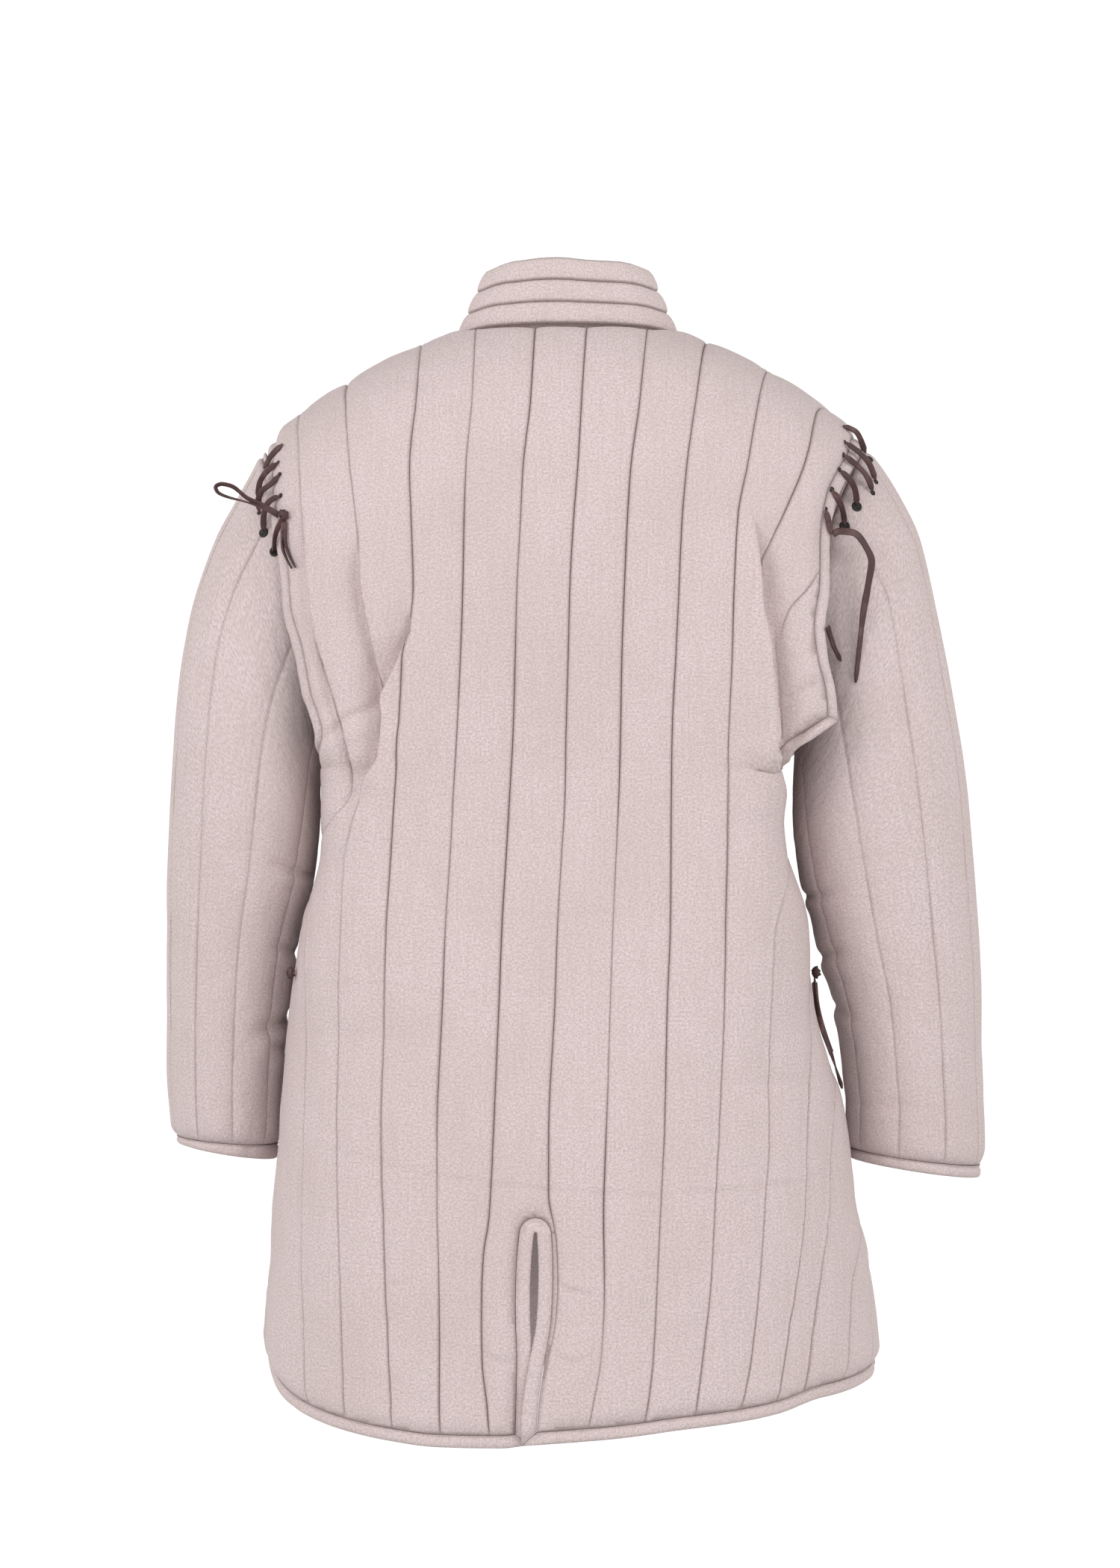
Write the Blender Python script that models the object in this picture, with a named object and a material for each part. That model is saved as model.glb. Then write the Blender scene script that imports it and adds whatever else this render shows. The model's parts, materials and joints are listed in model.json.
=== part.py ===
"""A quilted canvas gambeson, hollow and in its worn pose, tied at the shoulders and laced at the sides.

Metres, +Z up. The front faces -Y, the back +Y, and +X is the wearer's left. The origin is at the
middle of the shoulders, level with the base of the neck.
"""

import bmesh
import bpy
import numpy as np
from mathutils import Vector
from mathutils.geometry import delaunay_2d_cdt

# Cloth
CHANNEL = 0.0475
WALL_AT_LINES = 0.0045
WALL_AT_CROWNS = 0.0125
WALL_AT_EDGES = 0.0055
EDGE_FADE = 0.022
GAP = 0.0003
BINDING = 0.011
BINDING_GAP = 0.0005
SLEEVE_GAP = 0.0008
SPACING = 0.030
NECK_SPACING = 0.0105
VENT_FACING = 0.0125
BACK, FRONT = 1, -1

# Section of a binding: share of its width from the cloth to the edge, and height
BINDING_HEIGHT = 0.0066
BINDING_SECTION = ((0.0, 0.0002), (0.75, 0.0), (1.0, 0.0020), (1.0, 0.0048), (0.72, 0.0066), (0.0, 0.0064))
BINDING_END_GAP = 0.0002

# Points across each channel of a panel, the rows they lie in, and how far they stay from its edge
OUTER_SHARES, OUTER_ROW, OUTER_CLEAR = (0.0, 0.2, 0.5, 0.8), 0.058, 0.010
INNER_SHARES, INNER_ROW, INNER_CLEAR = (0.0, 0.5), 0.072, 0.014

# Shoulder slope: how much lower the shoulder tips are than the neck, fading out at the armpit
SHOULDER_DROP = 0.118
RIDGE_HEIGHT = 0.010
ARMPIT_HEIGHT = -0.370
RIDGE_DEPTH = 0.0008

# Inner face of the body, row by row down the middle. left and right are the half widths, back and
# front the depths, power the squareness of the section.
BODY_COLUMNS = ("height", "left", "right", "back", "front", "power")
BODY_ROWS = (
    (0.010, 0.272, 0.272, 0.000, 0.000, 3.6),
    (0.008, 0.272, 0.272, 0.028, 0.028, 3.7),
    (0.000, 0.271, 0.271, 0.050, 0.050, 3.9),
    (-0.018, 0.270, 0.268, 0.073, 0.072, 4.2),
    (-0.050, 0.268, 0.263, 0.094, 0.093, 4.4),
    (-0.100, 0.266, 0.256, 0.109, 0.110, 4.5),
    (-0.200, 0.258, 0.246, 0.122, 0.126, 4.6),
    (-0.290, 0.246, 0.240, 0.124, 0.132, 4.6),
    (-0.340, 0.232, 0.244, 0.123, 0.134, 4.4),
    (-0.385, 0.206, 0.182, 0.122, 0.135, 3.2),
    (-0.455, 0.207, 0.190, 0.126, 0.138, 2.7),
    (-0.525, 0.225, 0.205, 0.135, 0.142, 2.5),
    (-0.600, 0.238, 0.211, 0.148, 0.147, 2.4),
    (-0.680, 0.245, 0.233, 0.162, 0.151, 2.35),
    (-0.760, 0.252, 0.246, 0.171, 0.154, 2.3),
    (-0.850, 0.259, 0.262, 0.178, 0.156, 2.3),
    (-0.990, 0.268, 0.276, 0.184, 0.158, 2.3),
)

# The quilting line nearest the middle: how far it lies from the middle, to the left, at each height
LINE_DRIFT = ((-1.00, 0.020), (-0.79, 0.017), (-0.53, 0.008), (-0.35, 0.000), (-0.11, -0.009), (0.02, -0.024))

# Edges of the back, in x and z, as the eye sees them from behind
BACK_ARMHOLE_RIGHT = (
    (-0.2640, -0.1020),
    (-0.2520, -0.1170),
    (-0.2420, -0.1340),
    (-0.2335, -0.1560),
    (-0.2305, -0.1850),
    (-0.2300, -0.2330),
    (-0.2265, -0.2680),
    (-0.2290, -0.2920),
    (-0.2340, -0.3170),
    (-0.2370, -0.3450),
)
BACK_ARMHOLE_LEFT = (
    (0.2650, -0.1000),
    (0.2640, -0.1240),
    (0.2620, -0.1440),
    (0.2570, -0.1740),
    (0.2500, -0.2100),
    (0.2460, -0.2500),
    (0.2370, -0.2850),
    (0.2290, -0.3230),
    (0.2190, -0.3530),
    (0.2110, -0.3800),
)
BACK_HEM = (
    (-0.276, -0.9360),
    (-0.235, -0.9330),
    (-0.215, -0.9350),
    (-0.181, -0.9440),
    (-0.147, -0.9490),
    (-0.094, -0.9540),
    (-0.043, -0.9600),
    (0.034, -0.9660),
    (0.058, -0.9690),
    (0.108, -0.9690),
    (0.158, -0.9650),
    (0.210, -0.9560),
    (0.240, -0.9450),
    (0.262, -0.9300),
)

# Soft folds in the back below the arms: their ends in x and z from behind, depth and half width
FOLD_COLUMNS = ("top_x", "top_z", "foot_x", "foot_z", "depth", "width")
BACK_FOLDS = (
    (-0.168, -0.190, -0.184, -0.400, 0.0110, 0.014),
    (-0.225, -0.215, -0.186, -0.300, 0.0055, 0.011),
    (0.216, -0.180, 0.192, -0.385, 0.0090, 0.014),
    (0.171, -0.230, 0.155, -0.385, 0.0080, 0.013),
    (0.131, -0.270, 0.150, -0.460, 0.0045, 0.013),
)
FOLD_OVERRUN = 0.1
FOLD_END_STEEPNESS = 3.3

# Vent: its slit's top, its place across at top and hem, and how its right side laps over its left
VENT_TOP = -0.786
VENT_FOOT = -0.966
VENT_AT_HEM = 0.032
VENT_AT_TOP = 0.028
VENT_GAP = 0.003
VENT_HEM_CLEAR = 0.020
VENT_LAP = 0.009
VENT_LAP_LIFT = 0.0045
VENT_LAP_TOP = -0.856
VENT_LAP_EASE = 0.09
VENT_LAP_REACH = 0.045

# Side edges: how far behind or before the middle plane, at each height
BACK_SIDE = ((-0.38, 0.052), (-0.43, 0.018), (-0.55, 0.010), (-0.62, 0.006), (-0.95, 0.004))
FRONT_SIDE = ((-0.38, -0.040), (-0.41, -0.014), (-0.55, -0.008), (-0.62, -0.006), (-0.95, -0.008))
BACK_SIDE_TOP_RIGHT = -0.390
BACK_SIDE_TOP_LEFT = -0.408
FRONT_SIDE_TOP = -0.395
BACK_SIDE_FOOT_RIGHT = -0.925
BACK_SIDE_FOOT_LEFT = -0.905
FRONT_SIDE_FOOT = -0.915

# Front edges, the same on both sides
FRONT_ARMHOLE = (
    (0.2640, -0.1040),
    (0.2480, -0.1250),
    (0.2350, -0.1600),
    (0.2250, -0.2100),
    (0.2230, -0.2600),
    (0.2280, -0.3000),
    (0.2290, -0.3300),
)
FRONT_HEM = ((0.262, -0.929), (0.200, -0.938), (0.100, -0.945), (0.000, -0.948))
SLIT_FOOT = -0.230
SLIT_GAP = 0.004

# Neck hole, in plan: half width, and depth behind and before the middle plane
NECK_HALF_WIDTH = 0.099
NECK_BACK = 0.050
NECK_FRONT = 0.066

# Collar: three rolls, leaning in towards the top, open at the centre front
COLLAR_ROLLS = 3
COLLAR_HEIGHT = 0.067
COLLAR_STAND = 0.008
COLLAR_INSET = 0.0008
COLLAR_LEAN = 0.029
COLLAR_LEAN_BACK = 0.009
COLLAR_RINGS = 35
COLLAR_OPENING = 0.016
COLLAR_WALL = 0.0050
COLLAR_ROLL = 0.0075

# Sleeves: each ring's outer and inner point from behind, its middle and half depth front to back
SLEEVE_COLUMNS = ("outer_x", "outer_z", "inner_x", "inner_z", "middle_y", "half_depth")
SLEEVE_RIGHT = (
    (0.2680, -0.1060, 0.2180, -0.3000, 0.000, 0.061),
    (0.2820, -0.1240, 0.2130, -0.3350, 0.000, 0.064),
    (0.2980, -0.1560, 0.2090, -0.3700, 0.000, 0.066),
    (0.3120, -0.1880, 0.2080, -0.3900, 0.000, 0.067),
    (0.3260, -0.2520, 0.2090, -0.4120, 0.000, 0.067),
    (0.3380, -0.3190, 0.2110, -0.4380, 0.000, 0.066),
    (0.3480, -0.3865, 0.2170, -0.4700, -0.002, 0.064),
    (0.3550, -0.4540, 0.2250, -0.5060, -0.006, 0.062),
    (0.3600, -0.5210, 0.2350, -0.5440, -0.010, 0.060),
    (0.3640, -0.5890, 0.2500, -0.5930, -0.016, 0.058),
    (0.3660, -0.6560, 0.2590, -0.6540, -0.022, 0.055),
    (0.3680, -0.7030, 0.2630, -0.6970, -0.026, 0.053),
    (0.3685, -0.7560, 0.2615, -0.7400, -0.030, 0.051),
)
SLEEVE_LEFT = (
    (0.2730, -0.1070, 0.2230, -0.3000, 0.000, 0.061),
    (0.2800, -0.1230, 0.2210, -0.3400, 0.000, 0.064),
    (0.2970, -0.1560, 0.2240, -0.3740, 0.000, 0.066),
    (0.3130, -0.1880, 0.2270, -0.3960, 0.000, 0.067),
    (0.3330, -0.2520, 0.2280, -0.4160, 0.000, 0.067),
    (0.3430, -0.3190, 0.2300, -0.4380, 0.000, 0.066),
    (0.3480, -0.3865, 0.2340, -0.4650, -0.004, 0.063),
    (0.3510, -0.4540, 0.2410, -0.4980, -0.010, 0.060),
    (0.3530, -0.5210, 0.2520, -0.5370, -0.018, 0.057),
    (0.3540, -0.5890, 0.2600, -0.5900, -0.026, 0.054),
    (0.3535, -0.6560, 0.2660, -0.6540, -0.032, 0.050),
    (0.3515, -0.7030, 0.2690, -0.6980, -0.036, 0.047),
    (0.3490, -0.7270, 0.2700, -0.7400, -0.039, 0.045),
)
SLEEVE_CHANNELS = 9
HEAD_HUG_RIGHT = 0.015
HEAD_HUG_LEFT = 0.002
HEAD_HUG_LENGTH = 0.10
SLEEVE_CROWN = 0.0105

# Laces: flat leather, in x and z along each stretch as seen from behind
LACE_WIDTH = 0.0046
LACE_THICKNESS = 0.0018
CORD_RADIUS = 0.0017
LACE_LIFT = 0.0035
RIGHT_BARS = (
    ((-0.2430, -0.0795), (-0.2580, -0.0850), (-0.2700, -0.1000)),
    ((-0.2440, -0.0930), (-0.2610, -0.1060), (-0.2790, -0.1290)),
    ((-0.2440, -0.1060), (-0.2560, -0.1160), (-0.2700, -0.1300), (-0.2760, -0.1440)),
    ((-0.2400, -0.1190), (-0.2500, -0.1310), (-0.2590, -0.1480)),
    ((-0.2320, -0.1370), (-0.2390, -0.1520), (-0.2460, -0.1660)),
    ((-0.2230, -0.1550), (-0.2300, -0.1700), (-0.2350, -0.1780)),
)
LEFT_BARS = (
    ((0.2570, -0.0960), (0.2680, -0.1050), (0.2780, -0.1180)),
    ((0.2610, -0.1120), (0.2730, -0.1240), (0.2850, -0.1420)),
    ((0.2580, -0.1240), (0.2700, -0.1340), (0.2830, -0.1540)),
    ((0.2560, -0.1440), (0.2670, -0.1540), (0.2760, -0.1720)),
)

SHOULDER_CORDS = {
    "shoulder_tail_right": (
        (-0.2390, -0.1800),
        (-0.2510, -0.1820),
        (-0.2614, -0.1916),
        (-0.2673, -0.2028),
        (-0.2673, -0.2147),
        (-0.2633, -0.2325),
        (-0.2600, -0.2563),
        (-0.2568, -0.2793),
        (-0.2554, -0.2971),
        (-0.2548, -0.3110),
    ),
    "shoulder_end_right": ((-0.2270, -0.2580), (-0.2344, -0.2760), (-0.2416, -0.2925)),
    "shoulder_bow_left": (
        (0.2580, -0.1590),
        (0.2680, -0.1545),
        (0.2800, -0.1480),
        (0.2940, -0.1400),
        (0.3050, -0.1345),
        (0.3110, -0.1365),
        (0.3090, -0.1420),
        (0.3000, -0.1475),
        (0.2840, -0.1530),
        (0.2690, -0.1600),
        (0.2590, -0.1640),
    ),
    "shoulder_tail_left": ((0.2520, -0.1690), (0.2523, -0.1858), (0.2483, -0.2004), (0.2437, -0.2097)),
    "shoulder_end_left": ((0.2475, -0.1685), (0.2440, -0.1850), (0.2400, -0.2000), (0.2380, -0.2084)),
}
# Free ends at the right hip: depth behind the middle plane, and height
HIP_CORDS = {
    "hip_loop_right": (
        (0.0180, -0.5790),
        (0.0150, -0.6000),
        (0.0130, -0.6200),
        (0.0140, -0.6400),
        (0.0180, -0.6470),
        (0.0225, -0.6400),
        (0.0230, -0.6200),
        (0.0240, -0.6000),
        (0.0235, -0.5790),
    ),
    "hip_tail_right": (
        (0.0300, -0.5740),
        (0.0330, -0.5870),
        (0.0310, -0.6100),
        (0.0290, -0.6400),
        (0.0300, -0.6620),
        (0.0290, -0.6760),
    ),
}
HIP_CORD_LIFT = 0.0155
KNOT_LEFT = (0.2503, -0.1613)
KNOT_LEFT_END = (0.2503, -0.1713)
KNOT_LIFT = 0.0062
KNOT_RADII = (0.0065, 0.0045, 0.0055)
CORD_LIFT = 0.0040

# Side laces
SIDE_LACE_TOP = -0.425
SIDE_LACE_FOOT = -0.560
SIDE_LACE_STEP = 0.026
SIDE_EYELET_INSET = 0.016
SIDE_LACE_LIFT = 0.0085
SIDE_LACE_BULGE = 0.001
SIDE_KNOT_HEIGHT = -0.570
SIDE_KNOT_LIFT = 0.0175
SIDE_KNOT_DEPTH = {"right": 0.022, "left": 0.050}
SIDE_KNOT_RADII = (0.0045, 0.0055, 0.0055)

# Sleeves' first stitched line: its share of the way round from the back towards the outer side
SLEEVE_LINE_RIGHT = 0.030
SLEEVE_LINE_LEFT = 0.066

# Colours
CANVAS = (0.66, 0.58, 0.47)
CANVAS_EDGE = (0.60, 0.52, 0.41)
LEATHER = (0.075, 0.035, 0.018)


def clear_scene():
    for thing in list(bpy.data.objects):
        bpy.data.objects.remove(thing, do_unlink=True)


def material(name, colour, roughness):
    """A plain material, made once and shared by the pieces that have it."""
    found = bpy.data.materials.get(name)
    if found:
        return found
    made = bpy.data.materials.new(name)
    made.use_nodes = True
    shader = made.node_tree.nodes["Principled BSDF"]
    shader.inputs["Base Color"].default_value = (*colour, 1.0)
    shader.inputs["Roughness"].default_value = roughness
    shader.inputs["Metallic"].default_value = 0.0
    return made


def canvas(name):
    return material(f"{name}_canvas", CANVAS, 0.92)


def solid(name, points, faces, finish):
    """A mesh object from points and faces."""
    mesh = bpy.data.meshes.new(name)
    mesh.from_pydata([tuple(point) for point in points], [], [tuple(face) for face in faces])
    mesh.validate()
    mesh.shade_smooth()
    mesh.set_sharp_from_angle(angle=0.9)
    mesh.materials.append(finish)
    made = bpy.data.objects.new(name, mesh)
    bpy.context.scene.collection.objects.link(made)
    return made


def curve_through(x, knots, values):
    """Values on a smooth curve through the knots, with no overshoot between them."""
    knots = np.asarray(knots, float)
    values = np.asarray(values, float)
    x = np.clip(x, knots[0], knots[-1])
    steps = np.diff(knots)
    slopes = np.diff(values) / steps
    tangents = np.zeros(len(knots))
    turning = slopes[:-1] * slopes[1:] <= 0
    total = np.where(turning, 1.0, slopes[:-1] + slopes[1:])
    tangents[1:-1] = np.where(turning, 0.0, 2 * slopes[:-1] * slopes[1:] / total)
    tangents[0] = slopes[0]
    tangents[-1] = slopes[-1]
    i = np.clip(np.searchsorted(knots, x, side="right") - 1, 0, len(steps) - 1)
    t = (x - knots[i]) / steps[i]
    ends = values[i] * (1 + 2 * t) * (1 - t) ** 2 + values[i + 1] * t * t * (3 - 2 * t)
    return ends + steps[i] * (tangents[i] * t * (1 - t) ** 2 - tangents[i + 1] * t * t * (1 - t))


def table_at(x, rows):
    """The second column of a two-column table, at x in the first."""
    ordered = sorted(rows)
    return curve_through(x, [row[0] for row in ordered], [row[1] for row in ordered])


def smooth_path(points, spacing):
    """Points at an even spacing along a smooth curve through the given ones."""
    points = np.asarray(points, float)
    along = np.concatenate([[0], np.cumsum(np.linalg.norm(np.diff(points, axis=0), axis=1))])
    count = max(2, int(round(along[-1] / spacing)) + 1)
    at = np.linspace(0, along[-1], count)
    return np.stack([curve_through(at, along, column) for column in points.T], axis=1)


def unit(vectors):
    return vectors / np.linalg.norm(vectors, axis=-1, keepdims=True)


class Body:
    """The back or the front of the body as one surface.

    across is the distance along the cloth from the middle, to the wearer's left, and down the
    distance along the cloth from the top of the shoulders.
    """

    ROWS, COLUMNS, ANGLES = 420, 361, 721

    def __init__(self, side):
        self.side = side
        table = dict(zip(BODY_COLUMNS, np.array(BODY_ROWS).T))
        depth = table["back"] if side == BACK else table["front"]
        profile = np.stack([depth, table["height"]], axis=1)
        knots = np.concatenate([[0], np.cumsum(np.linalg.norm(np.diff(profile, axis=0), axis=1))])
        self.downs = np.linspace(0, knots[-1], self.ROWS)
        self.shares = np.linspace(-1, 1, self.COLUMNS)
        height, left, right, deep, power = (
            curve_through(self.downs, knots, column)
            for column in (table["height"], table["left"], table["right"], depth, table["power"])
        )
        angles = np.linspace(-np.pi / 2, np.pi / 2, self.ANGLES)
        self.grid = np.empty((self.ROWS, self.COLUMNS, 3))
        self.halves = np.empty((self.ROWS, 2))
        for row in range(self.ROWS):
            turn = 2 / power[row]
            part = np.sign(angles) * np.abs(np.sin(angles)) ** turn
            x = np.where(part > 0, left[row], right[row]) * part
            y = side * deep[row] * np.abs(np.cos(angles)) ** turn
            fade = (height[row] - ARMPIT_HEIGHT) / (RIDGE_HEIGHT - ARMPIT_HEIGHT)
            z = height[row] - SHOULDER_DROP * max(0.0, fade) * part**2
            ring = np.stack([x, y, z], axis=1)
            along = np.concatenate([[0], np.cumsum(np.linalg.norm(np.diff(ring, axis=0), axis=1))])
            middle = along[self.ANGLES // 2]
            self.halves[row] = middle, along[-1] - middle
            share = np.where(along < middle, along / middle - 1, (along - middle) / (along[-1] - middle))
            for axis in range(3):
                self.grid[row, :, axis] = np.interp(self.shares, share, ring[:, axis])
        slope_across = np.gradient(self.grid, axis=1)
        slope_down = np.gradient(self.grid, axis=0)
        self.normals = unit(np.cross(slope_across, slope_down)) * side

    def half_length(self, across, down):
        right = np.interp(down, self.downs, self.halves[:, 0])
        left = np.interp(down, self.downs, self.halves[:, 1])
        return np.where(across > 0, left, right)

    def sample(self, grid, across, down):
        row = np.clip(down / self.downs[1], 0, self.ROWS - 1.001)
        share = np.clip(across / self.half_length(across, down), -1, 1)
        column = np.clip((share + 1) / 2 * (self.COLUMNS - 1), 0, self.COLUMNS - 1.001)
        i, j = row.astype(int), column.astype(int)
        a, b = (row - i)[:, None], (column - j)[:, None]
        upper = grid[i, j] * (1 - b) + grid[i, j + 1] * b
        lower = grid[i + 1, j] * (1 - b) + grid[i + 1, j + 1] * b
        return upper * (1 - a) + lower * a

    def place(self, points, height):
        """Points in space, at a height above the cloth's inner face."""
        points = np.asarray(points, float)
        across, down = points[:, 0], points[:, 1]
        if self.side == BACK:
            across, height = lapped(self, across, down, height)
        normal = unit(self.sample(self.normals, across, down))
        place = self.sample(self.grid, across, down)
        if self.side == BACK:
            height = height - folded(place)
        return place + normal * np.reshape(height, (-1, 1))

    def find(self, x, axis, value):
        """The place on the cloth at this x and at this value of the axis, 1 for y or 2 for z."""
        shares = np.empty(self.ROWS)
        values = np.empty(self.ROWS)
        for row in range(self.ROWS):
            shares[row] = np.interp(x, self.grid[row, :, 0], self.shares)
            values[row] = np.interp(shares[row], self.shares, self.grid[row, :, axis])
        rising = values if values[-1] > values[0] else -values
        target = value if values[-1] > values[0] else -value
        row = int(np.clip(np.argmax(rising >= target), 1, self.ROWS - 1))
        t = np.clip((target - rising[row - 1]) / (rising[row] - rising[row - 1]), 0, 1)
        down = self.downs[row - 1] + t * (self.downs[row] - self.downs[row - 1])
        share = shares[row - 1] + t * (shares[row] - shares[row - 1])
        across = share * float(self.half_length(np.array(x), down))
        return across, down

    def find_side(self, hand, y, z):
        """The place near the side, at this y and z. hand is 1 for the wearer's left."""
        middle = self.grid[:, self.COLUMNS // 2, 2]
        down = float(np.interp(-z, -middle, self.downs))
        row = int(round(down / self.downs[1]))
        half = self.COLUMNS // 2
        edge = self.grid[row, half:, 1] if hand > 0 else self.grid[row, half::-1, 1]
        share = np.interp(abs(y), np.abs(edge[::-1]), np.abs(self.shares[half:][::-1]))
        return hand * share * float(self.half_length(np.array(hand), down)), down

    def height_at(self, down):
        return np.interp(down, self.downs, self.grid[:, self.COLUMNS // 2, 2])


def folded(places):
    """How deep the soft folds lie at these places."""
    depth = np.zeros(len(places))
    flat = places[:, [0, 2]]
    for row in BACK_FOLDS:
        fold = dict(zip(FOLD_COLUMNS, row))
        top = np.array([fold["top_x"], fold["top_z"]])
        along = np.array([fold["foot_x"], fold["foot_z"]]) - top
        share = (flat - top) @ along / (along @ along)
        away = np.linalg.norm(flat - top - np.clip(share, 0, 1)[:, None] * along, axis=1)
        ends = FOLD_END_STEEPNESS * (share + FOLD_OVERRUN) * (1 + FOLD_OVERRUN - share)
        ends = np.clip(ends, 0, 1)
        depth += fold["depth"] * ends * np.exp(-((away / fold["width"]) ** 2))
    return depth


def lapped(body, across, down, height):
    """The right side of the vent laps a little over the left, more so towards the hem."""
    z = body.height_at(down)
    slit = vent_middle(z)
    open_share = np.clip((VENT_LAP_TOP - z) / VENT_LAP_EASE, 0, 1)
    ramp = open_share**2 * (3 - 2 * open_share)
    fade = ramp * np.exp(-(((across - slit) / VENT_LAP_REACH) ** 2))
    over = across < slit
    shift = np.where(over, VENT_LAP * fade, 0.0)
    lift = np.where(over, VENT_LAP_LIFT * fade, -VENT_LAP_LIFT * fade)
    return across + shift, height + lift


def vent_middle(z):
    share = (VENT_TOP - z) / (VENT_TOP - VENT_FOOT)
    return VENT_AT_TOP + (VENT_AT_HEM - VENT_AT_TOP) * np.clip(share, 0, 1)


class Outline:
    """A panel's finished edge, as named stretches in order, and its width of binding on each."""

    def __init__(self):
        self.points = []
        self.widths = []
        self.spans = {}

    def add(self, name, points, width):
        points = [tuple(point) for point in points]
        if self.points and np.allclose(points[0], self.points[-1], atol=1e-4):
            points = points[1:]
            start = len(self.points) - 1
        else:
            start = len(self.points)
        self.points += points
        while len(self.widths) < len(self.points) - 1:
            self.widths.append(width)
        self.spans[name] = (start, len(self.points) - 1)

    def close(self):
        """The last point is the first one again."""
        self.points = np.array(self.points[:-1])
        self.widths = np.array(self.widths)

    def moved_in(self, less=0.0):
        """The outline moved in by the binding's width on each edge, or by a little less."""
        points, widths = self.points, self.widths - less
        edges = unit(np.roll(points, -1, axis=0) - points)
        normals = np.stack([edges[:, 1], -edges[:, 0]], axis=1)
        if self.area() > 0:
            normals = -normals
        before, width_before = np.roll(normals, 1, axis=0), np.roll(widths, 1)
        cross = before[:, 0] * normals[:, 1] - before[:, 1] * normals[:, 0]
        safe = np.where(np.abs(cross) < 0.05, 1.0, cross)
        x = (width_before * normals[:, 1] - widths * before[:, 1]) / safe
        y = (widths * before[:, 0] - width_before * normals[:, 0]) / safe
        corner = np.stack([x, y], axis=1)
        straight = unit(before + normals) * ((widths + width_before) / 2)[:, None]
        return points + np.where(np.abs(cross)[:, None] < 0.05, straight, corner)

    def area(self):
        x, y = self.points.T
        return 0.5 * np.sum(x * np.roll(y, -1) - np.roll(x, -1) * y)


def inside(points, outline):
    """Whether each point lies within the closed outline."""
    result = np.zeros(len(points), bool)
    x, y = points.T
    for (x0, y0), (x1, y1) in zip(outline, np.roll(outline, -1, axis=0)):
        crosses = (y0 > y) != (y1 > y)
        if abs(y1 - y0) > 1e-12:
            result ^= crosses & (x < (x1 - x0) * (y - y0) / (y1 - y0) + x0)
    return result


def distance_to(points, outline):
    """The distance from each point to the closed outline."""
    nearest = np.full(len(points), 1e9)
    for start, end in zip(outline, np.roll(outline, -1, axis=0)):
        along = end - start
        t = np.clip((points - start) @ along / max(along @ along, 1e-12), 0, 1)
        nearest = np.minimum(nearest, np.linalg.norm(points - start - t[:, None] * along, axis=1))
    return nearest


def quilting(phase):
    """The padding's rise, 0 on a stitched line and 1 on the crown between two lines."""
    share = phase - np.floor(phase)
    return (1 - (2 * share - 1) ** 2) ** 0.6


def body_phase(body, across, down):
    return (across - table_at(body.height_at(down), LINE_DRIFT)) / CHANNEL


def padded_height(body, points, outline):
    """The wall's thickness: quilted, and pressed flat towards the panel's edges."""
    rise = quilting(body_phase(body, points[:, 0], points[:, 1]))
    full = WALL_AT_LINES + (WALL_AT_CROWNS - WALL_AT_LINES) * rise
    share = np.clip(distance_to(points, outline) / EDGE_FADE, 0, 1)
    fade = share * (2 - share)
    return WALL_AT_EDGES + (full - WALL_AT_EDGES) * fade


def panel_points(body, outline, shares, row_spacing, clear):
    """Points on the quilting's lines and crowns, row by row, inside the outline."""
    low, high = outline.min(axis=0), outline.max(axis=0)
    rows = np.linspace(low[1], high[1], max(3, int((high[1] - low[1]) / row_spacing)))[1:-1]
    found, keys = [], []
    for row, down in enumerate(rows):
        start = table_at(body.height_at(down), LINE_DRIFT)
        first = int(np.floor((low[0] - start) / CHANNEL))
        last = int(np.ceil((high[0] - start) / CHANNEL))
        for channel in range(first, last + 1):
            for part, share in enumerate(shares):
                found.append((start + (channel + share) * CHANNEL, down))
                keys.append((row, channel * len(shares) + part))
    found = np.array(found)
    kept = inside(found, outline) & (distance_to(found, outline) > clear)
    found = found[kept]
    index = {key: i for i, key in enumerate(key for key, keep in zip(keys, kept) if keep)}
    pairs = [(i, index[(row + 1, line)]) for (row, line), i in index.items() if (row + 1, line) in index]
    ends = found[np.array(pairs)]
    clears = np.ones(len(pairs), bool)
    for share in (0.2, 0.4, 0.6, 0.8):
        middle = ends[:, 0] * (1 - share) + ends[:, 1] * share
        clears &= inside(middle, outline) & (distance_to(middle, outline) > clear / 2)
    return found, [pair for pair, clear_way in zip(pairs, clears) if clear_way]


def triangulated(outline, points, links):
    """Triangles over the outline's inside, through the given points and along the given links."""
    count = len(outline)
    corners = [Vector(point) for point in outline] + [Vector(point) for point in points]
    edges = [(i, (i + 1) % count) for i in range(count)]
    edges += [(first + count, second + count) for first, second in links]
    places, _, faces, origins, _, _ = delaunay_2d_cdt(corners, edges, [], 0, 1e-6, True)
    places = np.array([tuple(place) for place in places])
    index = [origin[0] for origin in origins]
    ordered = np.empty_like(places)
    ordered[index] = places
    faces = np.array([[index[corner] for corner in face] for face in faces])
    return ordered, faces[inside(ordered[faces].mean(axis=1), ordered[:count])]


def face_area(points, face):
    (x0, y0), (x1, y1), (x2, y2) = points[face[0]], points[face[1]], points[face[2]]
    return (x1 - x0) * (y2 - y0) - (x2 - x0) * (y1 - y0)


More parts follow.
